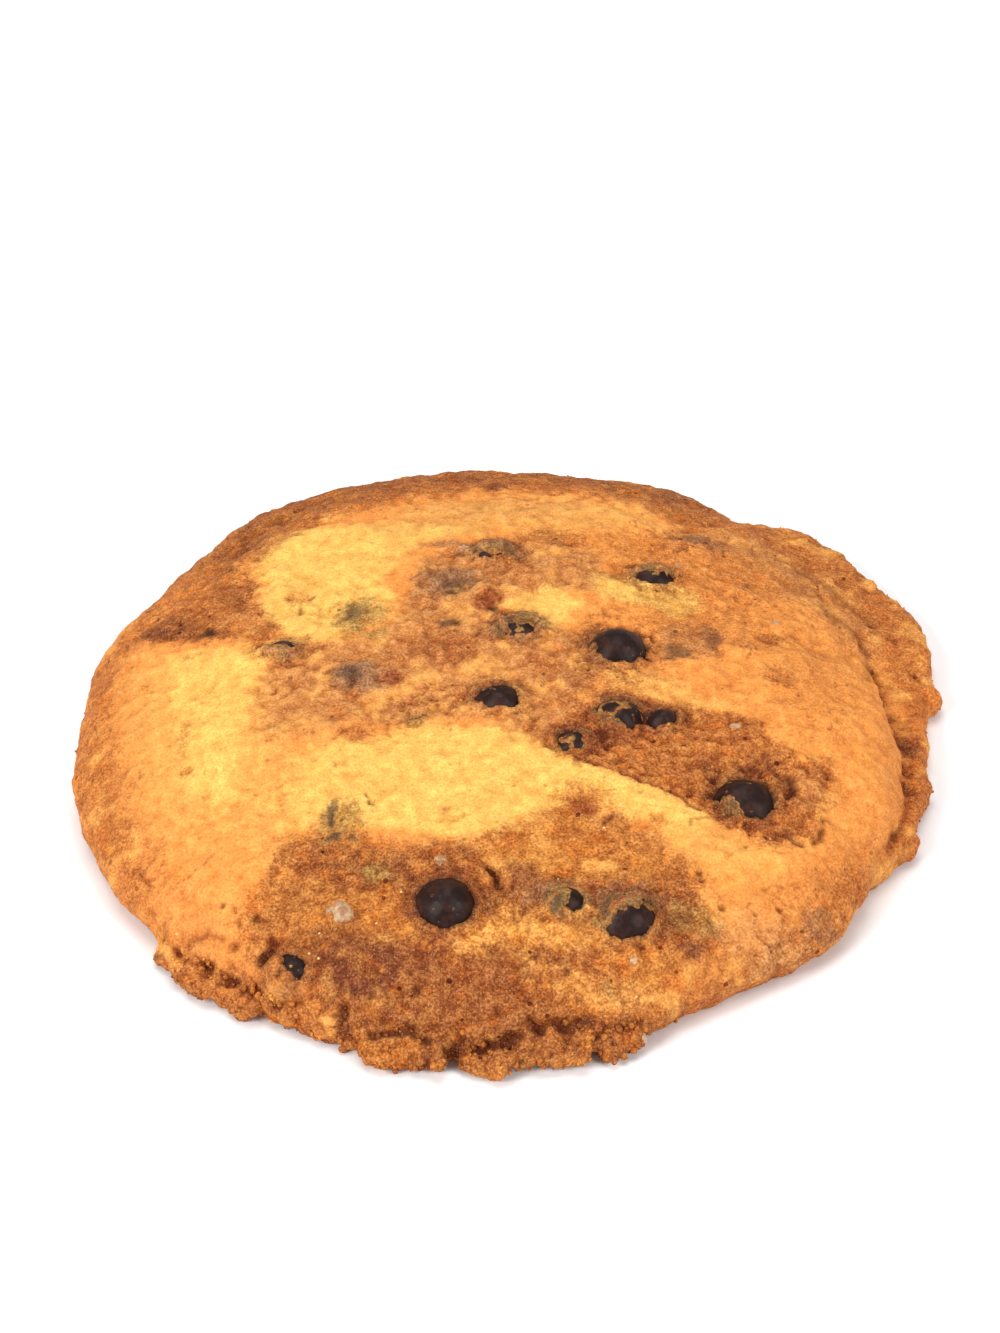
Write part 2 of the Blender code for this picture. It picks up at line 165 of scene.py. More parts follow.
PATCHES = (
    Patch("pale back field", Tone.PALE, 1.6, (
        (-32, 26), (-28, 31), (-16, 30), (-11, 31), (-5, 30), (-4, 28), (-10, 26), (-14, 23), (-15, 17),
        (-14, 11), (-21, 5), (-26, 6), (-30, 13))),
    Patch("golden back band", Tone.GOLD, 2.4, (
        (-16, 31), (-13, 35), (1, 37), (16, 36), (18, 32), (10, 29), (-4, 28))),
    Patch("tan middle", Tone.TAN, 1.0, (
        (-29, 4), (-15, 6), (-13, 13), (-11, 22), (-5, 25), (10, 24), (11, 15), (-1, 13), (1, 8),
        (9, 6), (9, -3), (5, -14), (-2, -10), (-13, -9), (-28, -12), (-30, -6)), 0.55),
    Patch("golden patch behind the middle", Tone.PALE, 0.9, (
        (-1, 12), (1, 14), (5, 15), (8, 13), (7, 9), (3, 7))),
    Patch("golden patch by the back right chip", Tone.PALE, 1.0, (
        (10, 18), (21, 18), (22, 14), (19, 11), (14, 13), (10, 14))),
    Patch("golden patch below the large chip", Tone.GOLD, 1.4, (
        (11, 0), (15, 0), (25, -6), (20, -7), (11, -4))),
    Patch("golden left field", Tone.GOLD, 3.5, (
        (-44, 5), (-29, 5), (-28, -9), (-25, -16), (-25, -30), (-31, -33), (-37, -26), (-42, -14))),
    Patch("pale left field", Tone.PALE, 1.1, (
        (-40, 6), (-36, 6), (-29, 5), (-30, -5), (-30, -12), (-30, -20), (-32, -22), (-36, -16), (-38, -8))),
    Patch("brown front field", Tone.BROWN, 2.4, (
        (-25, -27), (-18, -27), (-12, -29), (-4, -28), (2, -25), (6, -21), (10, -24), (15, -27), (20, -32),
        (22, -38), (15, -43), (12, -46), (4, -48), (-8, -50), (-17, -47), (-25, -41), (-29, -36), (-27, -31)),
        0.22),
    Patch("amber behind the front chips", Tone.AMBER, 1.8, (
        (-5, -29), (3, -24), (9, -25), (15, -28), (16, -32), (8, -33), (-3, -32))),
    Patch("amber at the front left", Tone.AMBER, 1.8, (
        (-23, -35), (-16, -35), (-10, -39), (-13, -41), (-22, -38))),
    Patch("amber at the front right", Tone.AMBER, 1.8, ((8, -38), (14, -38), (17, -42), (13, -44), (9, -42))),
    Patch("umber at the front left", Tone.UMBER, 2.2, (
        (-21, -38), (-14, -40), (-9, -42), (-8, -48), (-13, -48), (-20, -44))),
    Patch("umber at the front middle", Tone.UMBER, 2.0, (
        (-8, -43), (-1, -42), (5, -43), (5, -46), (-2, -47))),
    Patch("ochre in the front middle", Tone.OCHRE, 1.6, (
        (-2, -36), (5, -37), (9, -39), (8, -41), (1, -41), (-5, -42), (-6, -40))),
    Patch("ochre at the front right", Tone.OCHRE, 1.6, ((1, -43), (9, -44), (13, -44), (10, -47), (3, -46))),
    Patch("pale tongue", Tone.PALE, 1.3, (
        (-28, -15), (-24, -14), (-17, -12), (-7, -10), (0, -11), (6, -15), (15, -20), (22, -23), (19, -26),
        (13, -25), (8, -21), (3, -24), (-4, -28), (-12, -27), (-18, -24), (-25, -26), (-29, -22))),
    Patch("golden gap beside the tongue", Tone.GOLD, 1.8, (
        (-30, -12), (-25, -13), (-23, -18), (-24, -25), (-29, -26))),
    Patch("brown right of the middle", Tone.SIENNA, 0.7, (
        (2, -13), (8, -7), (12, -4), (21, -7), (27, -7), (30, -13), (35, -12), (36, -16), (34, -20),
        (32, -24), (28, -27), (25, -25), (20, -22), (15, -20), (9, -17)), 0.75),
    Patch("umber round the right chip", Tone.BROWN, 1.2, (
        (20, -15), (28, -14), (31, -19), (26, -24), (22, -23), (20, -18)), 0.30),
    Patch("golden end of the tongue", Tone.GOLD, 2.2, (
        (20, -24), (28, -27), (27, -30), (20, -31), (16, -27))),
    Patch("tan back left corner", Tone.SIENNA, 1.4, (
        (-44, 13), (-37, 8), (-29, 7), (-28, 9), (-30, 13), (-33, 20), (-34, 26), (-39, 19)), 0.20),
    Patch("brown strip behind the left fold", Tone.BROWN, 0.9, (
        (-43.5, 12), (-37, 8.5), (-34, 8.5), (-35, 11), (-37, 13.5), (-41.5, 15))),
    Patch("bruise at the front right", Tone.SIENNA, 1.8, (
        (26, -38), (31, -35), (36, -32), (34, -36), (28, -40))),
    Patch("brown back right field", Tone.TAN, 3.0, (
        (22, 33), (30, 36), (40, 30), (46, 20), (42, 12), (36, 18), (29, 26))),
)

DABS = (
    Dab("haze of the covered chip at the left", Tone.OLIVE, -19, -25, 3.4, 3.6, 0.80),
    Dab("speck of the covered chip at the left", Tone.SLATE, -19.7, -24.8, 0.7, 1.3, 0.95),
    Dab("lower speck of it", Tone.SLATE, -19.5, -27.1, 1.1, 0.8, 0.90),
    Dab("upper speck of it", Tone.SLATE, -19.7, -22.6, 1.0, 1.2, 0.60),
    Dab("right speck of it", Tone.SLATE, -17.4, -27.2, 0.7, 0.6, 0.80),
    Dab("haze of the covered chip at the back left", Tone.OLIVE, -18, 10, 3.4, 4.4, 0.80),
    Dab("core of it", Tone.SLATE, -18.3, 10.5, 1.6, 2.0, 0.65),
    Dab("tail of it", Tone.OLIVE, -15.8, 6.6, 1.8, 1.5, 0.60),
    Dab("haze of the covered chip at the back", Tone.SMOKE, -8, 16.5, 4.2, 3.4, 0.85),
    Dab("core of the covered chip at the back", Tone.SLATE, -7.4, 15.6, 1.7, 1.5, 0.65),
    Dab("haze of the covered chip left of the middle", Tone.SMOKE, -17.5, -1.5, 4.6, 2.4, 0.85),
    Dab("core of the covered chip left of the middle", Tone.SLATE, -18.5, -1.2, 1.6, 1.1, 0.75),
    Dab("rust beside it", Tone.RUST, -14.4, -1.6, 1.8, 1.2, 0.80),
    Dab("rust in the middle", Tone.RUST, -8, 3, 5.0, 3.0, 0.45),
    Dab("streak left of the back chip", Tone.SMOKE, -8.3, 24.8, 3.2, 1.2, 0.70),
    Dab("haze round the back chip", Tone.SMOKE, -3, 22.7, 5.4, 2.2, 0.65),
    Dab("streak at the back right", Tone.SMOKE, 22.7, 29.7, 4.8, 2.3, 0.95),
    Dab("core of the streak at the back right", Tone.SLATE, 21.7, 29.9, 2.4, 1.5, 0.65),
    Dab("ring right of the large chip", Tone.SMOKE, 20.2, 6.2, 5.0, 3.8, 0.60),
    Dab("core right of the large chip", Tone.SLATE, 22.8, 7.0, 1.3, 3.0, 0.75),
    Dab("core beside the large chip", Tone.SLATE, 18.7, 3.7, 2.0, 1.4, 0.70),
    Dab("haze behind the middle", Tone.SMOKE, 0.6, 7.0, 4.0, 3.0, 0.70),
    Dab("scar behind the middle", Tone.CHOC, -7.7, 8.1, 1.5, 0.7, 0.80),
    Dab("red hole behind the middle", Tone.RUST, -2.8, 12.8, 1.7, 2.8, 0.90),
    Dab("core of the red hole", Tone.CHOC, -2.5, 10.8, 0.8, 0.9, 0.90),
    Dab("scar at the right", Tone.BROWN, 30, 8.9, 1.9, 1.3, 0.75),
    Dab("scar at the lower right", Tone.SIENNA, 30.6, 0.1, 2.4, 1.8, 0.70),
    Dab("stain on the back left corner", Tone.UMBER, -41, 12.8, 3.6, 3.0, 0.80),
    Dab("spot on the back left corner", Tone.CHOC, -36, 9.2, 1.5, 1.1, 0.85),
    Dab("rust on the back left corner", Tone.RUST, -28.5, 9, 1.5, 2, 0.60),
    Dab("olive in the middle", Tone.OLIVE, -11.1, -9.2, 2.0, 2.0, 0.80),
    Dab("olive at the front left", Tone.OLIVE, -14.8, -31.8, 2.2, 1.7, 0.75),
    Dab("haze of the front right cover", Tone.OLIVE, 18.3, -36.7, 3.6, 2.2, 0.50),
    Dab("shade under the front right cover", Tone.UMBER, 18.2, -39.9, 1.9, 0.8, 0.90),
    Dab("spot on the back rim", Tone.UMBER, -2.2, 40.3, 1.6, 2.0, 0.90),
    Dab("haze round the crumbed front chip", Tone.SMOKE, 3.4, -34.7, 3.2, 2.1, 0.75),
    Dab("haze round the crescent front chip", Tone.SMOKE, 11.8, -35.2, 4.0, 2.7, 0.60),
    Dab("haze round the round front chip", Tone.UMBER, -6.8, -35.6, 4.4, 3.8, 0.60),
    Dab("haze round the large chip", Tone.UMBER, 11.2, 4.2, 5.0, 5.0, 0.70),
    Dab("haze round the middle chips", Tone.UMBER, 12.3, -7.9, 5.4, 3.8, 0.65),
    Dab("haze round the toasted chip", Tone.RUST, 7.2, -12.2, 3.2, 2.4, 0.85),
    Dab("haze round the centre chip", Tone.UMBER, -2, -5.4, 3.8, 2.3, 0.50),
    Dab("haze round the left chip", Tone.SMOKE, -26.6, 3.9, 2.4, 1.9, 0.50),
    Dab("haze round the back right chip", Tone.OLIVE, 14.9, 18.3, 4.6, 2.0, 0.60),
    Dab("glow round the rust patch", Tone.AMBER, 7.2, -22.2, 3.6, 3.0, 0.65),
    Dab("rust patch on the tongue", Tone.RUST, 7.2, -23.2, 2.0, 1.8, 0.75),
    Dab("small rust patch on the tongue", Tone.AMBER, 15.5, -24.9, 1.2, 1.0, 0.70),
    Dab("rust in the tan field", Tone.RUST, -22.6, 4.5, 1.7, 1.1, 0.60),
    Dab("rust below the tan field", Tone.RUST, -18.1, -11.2, 1.8, 1.4, 0.55),
    Dab("stain by the slit", Tone.UMBER, 0.5, -32.7, 1.6, 1.8, 0.60),
    Dab("stain right of the round chip", Tone.UMBER, -2.7, -36.2, 1.8, 2.7, 0.50),
    Dab("orange scar at the left", Tone.AMBER, -36.7, -9.7, 1.0, 2.8, 0.45),
    Dab("orange spot at the left", Tone.AMBER, -42.4, 0.7, 0.8, 0.9, 0.60),
    Dab("orange spot at the lower left", Tone.AMBER, -36.2, -15.1, 0.6, 0.7, 0.60),
    Dab("orange mark on the back field", Tone.AMBER, -25.3, 14.1, 1.9, 1.8, 0.60),
    Dab("blush at the left edge", Tone.SIENNA, -43.8, -21.5, 2.2, 3.0, 0.45),
    Dab("haze of the bruise", Tone.SMOKE, 32.7, -33.4, 3.0, 1.6, 0.55),
    Dab("grey tongue at the front", Tone.SMOKE, -2, -47.5, 3.5, 1.5, 0.32),
    Dab("stain on the frill", Tone.UMBER, 45.3, -2.5, 1.7, 2.4, 0.80),
    Dab("light block by the right chip", Tone.TAN, 32.9, -17.4, 3.2, 3.6, 0.45),
    Dab("grey speck at the front right", Tone.OLIVE, 10.1, -44.6, 1.4, 0.8, 0.50),
    Dab("stain at the back", Tone.UMBER, 5.5, 24.8, 2.2, 1.3, 0.60),
    Dab("brown wash at the back", Tone.BROWN, 4.5, 26.5, 5.5, 2.5, 0.55),
    Dab("toast right of the large chip", Tone.SIENNA, 21, 11, 10, 7, 0.46),
    Dab("toast on the back left corner", Tone.SIENNA, -37, 18, 7, 7, 0.70),
    Dab("tan behind the left fold", Tone.TAN, -32, 11, 3, 2, 0.60),
    Dab("streak on the back left corner", Tone.BROWN, -32.5, 16.5, 1.5, 3.5, 0.75),
    Dab("toast at the back right", Tone.SIENNA, 24, 24, 15, 9, 0.55),
    Dab("toast at the right", Tone.SIENNA, 34, 4, 8, 12, 0.22),
    Dab("brown on the right field", Tone.BROWN, 15, -12, 12, 6, 0.10),
    Dab("brown round the middle chips", Tone.BROWN, 11, -1, 7, 6, 0.36),
    Dab("brown at the front foot", Tone.BROWN, -3, -45.5, 10, 4, 0.85),
    Dab("brown on the lumps at the front", Tone.BROWN, -3, -48, 6, 2.5, 0.60),
    Dab("cream at the front right", Tone.CREAM, 27, -37, 6, 3, 0.15),
    Dab("warm patch at the front left", Tone.AMBER, -23, -35, 6, 5, 0.50),
    Dab("orange at the lower left", Tone.ORANGE, -32, -28, 8, 8, 0.65),
    Dab("toast in the tan middle", Tone.SIENNA, -6, -6.5, 8, 3, 0.22),
    Dab("toast on the golden back band", Tone.TAN, -2, 33, 14, 5, 0.36),
    Dab("ochre behind the front foot", Tone.GOLD, 6, -39, 4, 2.5, 0.40),
)

RIM_BAKES = (
    RimBake("back rim", Tone.SIENNA, (50, 62, 140, 154), (37.5, 42.0), 0.95),
    RimBake("edge of the back rim", Tone.BROWN, (50, 62, 140, 154), (40.5, 45.0), 0.70),
    RimBake("left rim", Tone.SIENNA, (146, 160, 205, 222), (44.0, 48.5), 0.55),
    RimBake("back right corner", Tone.SIENNA, (2, 12, 50, 64), (43.0, 47.5), 0.85),
    RimBake("frill", Tone.RUSSET, (328, 333, 366, 374), (44.6, 46.2), 0.95),
    RimBake("front rim", Tone.SIENNA, (262, 276, 322, 336), (42.5, 48.5), 0.70),
)

SLITS = (
    Slit("slit behind the front chips", ((-3, -31.5), (-2, -32.5), (-1.5, -34)), 0.42, 1.00, 0.95),
    Slit("slit by the foot chip", ((-26.5, -40), (-25.5, -38.5)), 0.60, 1.40, 0.95),
    Slit("middle fold", (
        (3.0, -13.6), (6.0, -15.0), (11.0, -17.6), (16.0, -20.1), (20.0, -22.1)), 0.30, 0.45, 0.45),
    Slit("crack on the tongue", ((18.6, -25.4), (18.9, -24.1), (21.1, -22.8)), 0.16, 0.22, 0.40),
    Slit("crack by the rust patch", ((9.6, -25.2), (10.6, -24.4)), 0.34, 0.45, 0.80),
    Slit("crack behind the left covered chip", ((-16.2, -21.0), (-15.6, -22.6)), 0.24, 0.35, 0.80),
    Slit("crease at the front", ((-1.8, -46.8), (0.8, -47.3), (3.0, -48.3)), 0.42, 0.60, 0.75),
    Slit("fold over the foot", (
        (-15, -48), (-11, -48), (-7.5, -49.5), (-2.5, -49.5), (1.5, -48), (8, -47)), 0.45, 0.60, 0.70),
    Slit("gap in the lumps", ((-6.2, -49.6), (-5.6, -52.5)), 0.50, 0.60, 0.75),
    Slit("second gap in the lumps", ((8.4, -47.3), (8.8, -50.8)), 0.45, 0.60, 0.75),
    Slit("recess in the ledge", ((-27, -43.8), (-25, -46)), 0.50, 0.55, 0.70),
    Slit("crease above the ledge", ((-34.5, -35.5), (-32.5, -36), (-29.5, -38)), 0.40, 0.40, 0.25),
    Slit("crack at the lower left", ((-30.0, -33.8), (-29.2, -36.2)), 0.18, 0.30, 0.40),
    Slit("crack on the back field", ((-27.0, 15.0), (-25.2, 14.2), (-25.0, 11.6)), 0.30, 0.25, 0.45),
    Slit("inner wrinkle", ((36.5, 21.0), (39.6, 18.4), (42.0, 13.9), (41.6, 8.0)), 0.70, 0.18, 0.28),
    Slit("outer wrinkle", ((33.0, 30.0), (38.6, 26.0), (43.0, 19.6)), 0.80, 0.22, 0.30),
    Slit("crease behind the rim", ((-27, 38.5), (-33, 32.5), (-35, 20.5)), 1.30, 0.25, 0.20),
    Slit("crease by the right block", ((34, -21), (33.5, -22.5), (32.5, -24.5)), 0.55, 0.45, 0.40),
    Slit("crevice right of the right chip", ((30, -16), (30.5, -17.5), (30, -19)), 0.65, 0.75, 0.75),
    Slit("crevice below the right chip", ((29, -24), (31, -25)), 0.55, 0.60, 0.75),
    Slit("crevice left of the right chip", ((21.5, -17), (22, -19.5)), 0.50, 0.60, 0.70),
)

PITS = (
    Pit(-11.0, -32.8, 0.32, 0.6), Pit(-16.7, -44.6, 0.34, 0.5), Pit(-14.9, -45.2, 0.30, 0.5),
    Pit(-17.7, -45.7, 0.42, 0.7), Pit(19.5, -30.8, 0.36, 0.6), Pit(19.8, -31.7, 0.30, 0.6),
    Pit(21.8, -34.7, 0.36, 0.5), Pit(28.0, -33.7, 0.30, 0.5), Pit(24.8, -26.8, 0.28, 0.4),
    Pit(-27.3, -35.7, 0.34, 0.5), Pit(-31.0, -33.6, 0.30, 0.4), Pit(-10.1, -45.1, 0.34, 0.5),
    Pit(-24.6, -42.6, 0.30, 0.6), Pit(5.4, -43.2, 0.28, 0.4), Pit(13.2, -40.4, 0.30, 0.5),
)


def smooth(share: np.ndarray) -> np.ndarray:
    """Eases shares from 0 to 1."""
    held = np.clip(share, 0.0, 1.0)
    return held * held * (3 - 2 * held)


def ramp(values: np.ndarray, start: float, end: float) -> np.ndarray:
    """0 at start, 1 at end, eased between them."""
    return smooth((values - start) / (end - start))


def bell(away: np.ndarray, width: float | np.ndarray) -> np.ndarray:
    """1 at a middle, falling away from it over a width."""
    return np.exp(-((away / width) ** 2))


def bearing_of(plan: np.ndarray) -> np.ndarray:
    """The bearing of each place from the cookie's middle, in degrees anticlockwise from the right."""
    return np.degrees(np.arctan2(plan[:, 1], plan[:, 0])) % 360


def along(bearing: np.ndarray, begins: float, full: float, last_full: float, ends: float) -> np.ndarray:
    """1 along a stretch of bearings, eased at both ends, also where the stretch runs on past 360 degrees."""
    turns = (bearing, bearing + 360)
    return np.maximum(*(ramp(turn, begins, full) * ramp(turn, ends, last_full) for turn in turns))


def reach_of(plan: np.ndarray) -> np.ndarray:
    """How far each place is from the cookie's middle in the plan."""
    return np.hypot(plan[:, 0], plan[:, 1])


def in_box(places: np.ndarray, low: np.ndarray, high: np.ndarray) -> np.ndarray:
    """The numbers of the places that are between two corners."""
    return np.nonzero(np.all((places > low) & (places < high), axis=1))[0]


def noise_at(places: np.ndarray, wave: float, seed: float, octaves: int = 1) -> np.ndarray:
    """Smooth noise at places.

    Args:
        places: Rows of x, y, z in millimetres.
        wave: The length of one wave in millimetres.
        seed: Moves the pattern, so that two calls differ.
        octaves: How many times finer noise is added.

    Returns:
        One value a row, about -1 to 1.
    """
    moved = places / wave + seed
    if octaves == 1:
        return np.array([noise.noise(Vector(row)) for row in moved])
    return np.array([noise.fractal(Vector(row), 0.9, 2.1, octaves) for row in moved])


def cells_at(places: np.ndarray, size: float, seed: float) -> np.ndarray:
    """How far each place is from the nearest of randomly strewn points, in shares of their spacing."""
    moved = places / size + seed
    return np.array([noise.voronoi(Vector(row))[0][0] for row in moved])


def inside_by(plan: np.ndarray, outline: tuple[Place, ...]) -> np.ndarray:
    """How far places in the plan are inside an outline.

    Args:
        plan: Rows of x, y in millimetres.
        outline: The outline's corners in turn.

    Returns:
        The distance to the outline, negative outside it.
    """
    nearest = np.full(len(plan), np.inf)
    within = np.zeros(len(plan), bool)
    for start, end in zip(outline, outline[1:] + outline[:1]):
        nearest = np.minimum(nearest, distance_to_run(plan, start, end))
        rise = end[1] - start[1]
        if rise:
            crossing = start[0] + (plan[:, 1] - start[1]) * (end[0] - start[0]) / rise
            within ^= ((start[1] > plan[:, 1]) != (end[1] > plan[:, 1])) & (plan[:, 0] < crossing)
    return np.where(within, nearest, -nearest)


def distance_to_run(plan: np.ndarray, start: Place, end: Place) -> np.ndarray:
    """The distance of places in the plan from a straight run.

    Args:
        plan: Rows of x, y in millimetres.
        start: The run's start.
        end: The run's end.

    Returns:
        One distance a row, in millimetres.
    """
    run = np.subtract(end, start)
    from_start = plan - start
    share = np.clip(from_start @ run / (run @ run), 0, 1)
    return np.linalg.norm(from_start - share[:, None] * run, axis=1)


def distance_to_path(plan: np.ndarray, path: tuple[Place, ...]) -> np.ndarray:
    """The distance of places in the plan from a path of straight runs."""
    return np.min([distance_to_run(plan, start, end) for start, end in zip(path, path[1:])], axis=0)


def select_only(obj: Piece) -> None:
    """Makes one object the selected and active one.

    Args:
        obj: The object to select.
    """
    bpy.ops.object.select_all(action="DESELECT")
    obj.select_set(True)
    bpy.context.view_layer.objects.active = obj


def apply_modifier(obj: Piece, kind: str, **settings: object) -> None:
    """Adds a modifier with its settings and applies it.

    Args:
        obj: The object to change.
        kind: The modifier's type.
        **settings: The modifier's own values.
    """
    select_only(obj)
    modifier = obj.modifiers.new(kind.lower(), kind)
    for name, value in settings.items():
        setattr(modifier, name, value)
    bpy.ops.object.modifier_apply(modifier=modifier.name)


def copy_of_node(node: str, name: str) -> Piece:
    """A piece that starts as a closed copy of a CAD node's mesh.

    Args:
        node: The CAD node's name.
        name: The new piece's name.

    Returns:
        The new object, with its place in its mesh.
    """
    piece = bpy.data.objects.new(name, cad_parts[node].data.copy())
    bpy.context.scene.collection.objects.link(piece)
    piece.data.materials.clear()
    for attribute in list(piece.data.attributes):
        if attribute.name.startswith("_") or attribute.name == "custom_normal":
            piece.data.attributes.remove(attribute)
    select_only(piece)
    bpy.ops.object.mode_set(mode="EDIT")
    bpy.ops.mesh.select_all(action="SELECT")
    bpy.ops.mesh.remove_doubles(threshold=0.00001)
    bpy.ops.object.mode_set(mode="OBJECT")
    return piece


def places_of(mesh: bpy.types.Mesh) -> np.ndarray:
    """Reads every vertex's place.

    Args:
        mesh: The mesh to read.

    Returns:
        Rows of x, y, z in millimetres.
    """
    flat = np.empty(len(mesh.vertices) * 3, np.float32)
    mesh.vertices.foreach_get("co", flat)
    return flat.reshape(-1, 3).astype(float) / MM


def normals_of(mesh: bpy.types.Mesh) -> np.ndarray:
    """Reads every vertex's normal.

    Args:
        mesh: The mesh to read.

    Returns:
        Rows of x, y, z, each of length 1.
    """
    flat = np.empty(len(mesh.vertices) * 3, np.float32)
    mesh.vertex_normals.foreach_get("vector", flat)
    return flat.reshape(-1, 3).astype(float)


def move_to(mesh: bpy.types.Mesh, places: np.ndarray) -> None:
    """Puts every vertex at its new place, given in millimetres."""
    mesh.vertices.foreach_set("co", (places * MM).astype(np.float32).ravel())
    mesh.update()


def cavity_of(mesh: bpy.types.Mesh, places: np.ndarray, normals: np.ndarray, rounds: int) -> np.ndarray:
    """How far each point lies below the evened skin round it.

    Args:
        mesh: The mesh, for its edges.
        places: Its points, in millimetres.
        normals: Their normals.
        rounds: How many times the skin is evened, which sets how far round is looked.

    Returns:
        Millimetres, positive in hollows.
    """
    ends = np.empty(len(mesh.edges) * 2, np.int32)
    mesh.edges.foreach_get("vertices", ends)
    first, second = ends[::2], ends[1::2]
    neighbours = np.bincount(ends, minlength=len(places))[:, None]
    even = places.copy()
    for _ in range(rounds):
        even = np.stack([
            np.bincount(first, side[second], len(places)) + np.bincount(second, side[first], len(places))
            for side in even.T
        ], axis=1) / neighbours
    return np.einsum("ij,ij->i", even - places, normals)


class Paint:
    """Tones laid over the points of a mesh, one over the other."""

    def __init__(self, mesh: bpy.types.Mesh, ground: Tone) -> None:
        """Starts with one tone all over.

        Args:
            mesh: The mesh to paint.
            ground: The first tone.
        """
        self.mesh = mesh
        count = len(mesh.vertices)
        self.colour = np.tile(ground.value.colour, (count, 1))
        self.grain = np.full(count, ground.value.grain)

    def lay(self, tone: Tone, weight: np.ndarray) -> None:
        """Mixes in a tone.

        Args:
            tone: The tone to lay.
            weight: How much of it each point takes, from 0 to 1.
        """
        weight = np.clip(weight, 0.0, 1.0)
        self.colour += (np.array(tone.value.colour) - self.colour) * weight[:, None]
        self.grain += (tone.value.grain - self.grain) * weight

    def toast(self, amount: np.ndarray) -> None:
        """Paints shade, darker and redder by an amount, and paints light, paler, by a negative one."""
        self.colour *= 1 - amount[:, None] * (1.0, 1.5, 1.9)

    def store(self) -> None:
        """Writes the tones into the mesh as the attributes that the finishes read."""
        tone = self.mesh.attributes.new("tone", "FLOAT_COLOR", "POINT")
        full = np.ones((len(self.colour), 4), np.float32)
        full[:, :3] = np.clip(self.colour, 0.0, 1.0)
        tone.data.foreach_set("color", full.ravel())
        grain = self.mesh.attributes.new("grain", "FLOAT", "POINT")
        grain.data.foreach_set("value", self.grain.astype(np.float32))


class Wiring:
    """Adds nodes to a node tree and joins them."""

    def __init__(self, tree: bpy.types.NodeTree) -> None:
        """Keeps the tree to work on."""
        self.tree = tree

    def add(self, kind: str, inputs: dict | None = None, **settings: object) -> bpy.types.Node:
        """Adds a node.

        Args:
            kind: The node's type, without its ShaderNode prefix.
            inputs: Values or sockets for its inputs, by name or number.
            **settings: The node's own values.

        Returns:
            The new node.
        """
        prefix = "" if kind.startswith("NodeGroup") else "ShaderNode"
        node = self.tree.nodes.new(prefix + kind)
        for name, value in settings.items():
            setattr(node, name, value)
        for key, value in (inputs or {}).items():
            self.feed(node.inputs[key], value)
        return node

    def feed(self, socket: Socket, value: object) -> None:
        """Gives an input a value, or joins a socket to it.

        Args:
            socket: The input.
            value: A plain value, or another node's output.
        """
        if isinstance(value, Socket):
            self.tree.links.new(value, socket)
        else:
            socket.default_value = value

    def math(self, operation: str, *values: object, clamp: bool = False) -> Socket:
        """The result of a Math node on values or sockets."""
        node = self.add("Math", dict(enumerate(values)), operation=operation, use_clamp=clamp)
        return node.outputs["Value"]

    def plus(self, first: object, second: object) -> Socket:
        """The sum of two values or sockets."""
        return self.math("ADD", first, second)

    def minus(self, first: object, second: object) -> Socket:
        """The first value or socket less the second."""
        return self.math("SUBTRACT", first, second)

    def times(self, first: object, second: object, clamp: bool = False) -> Socket:
        """The product of two values or sockets, held between 0 and 1 if clamp is set."""
        return self.math("MULTIPLY", first, second, clamp=clamp)

    def step(self, value: object, start: float, end: float) -> Socket:
        """A smooth step that is 0 at start and 1 at end."""
        ends = {"Value": value, "From Min": start, "From Max": end}
        return self.add("MapRange", ends, interpolation_type="SMOOTHSTEP").outputs["Result"]

    def mix(self, share: object, first: object, second: object, blend: str = "MIX") -> Socket:
        """Mixes two colours.

        Args:
            share: How much of the second colour is mixed in.
            first: The first colour.
            second: The second colour.
            blend: How they are mixed.

        Returns:
            The mixed colour.
        """
        sides = {0: share, MIX_COLOUR_A: first, MIX_COLOUR_B: second}
        node = self.add("Mix", sides, data_type="RGBA", blend_type=blend)
        return node.outputs[MIX_COLOUR_OUT]

    def blend(self, share: Socket, first: object, second: object) -> Socket:
        """Mixes two values.

        Args:
            share: How much of the second value is mixed in.
            first: The first value.
            second: The second value.

        Returns:
            The mixed value.
        """
        node = self.add("Mix", {0: share, 2: first, 3: second}, data_type="FLOAT")
        return node.outputs[0]

    def grain(self, place: Socket, length: float, detail: float = 3.0) -> Socket:
        """Noise with waves of a length in metres."""
        waves = {"Vector": place, "Scale": 1 / length, "Detail": detail, "Roughness": 0.6}
        return self.add("TexNoise", waves).outputs["Fac"]

    def cells(self, place: Socket, length: float) -> tuple[Socket, Socket]:
        """The distance from the middle of cells a length in metres across, and a random value for each."""
        node = self.add("TexVoronoi", {"Vector": place, "Scale": 1 / length, "Randomness": 1.0})
        return node.outputs["Distance"], self.add("SeparateColor", {0: node.outputs["Color"]}).outputs["Red"]


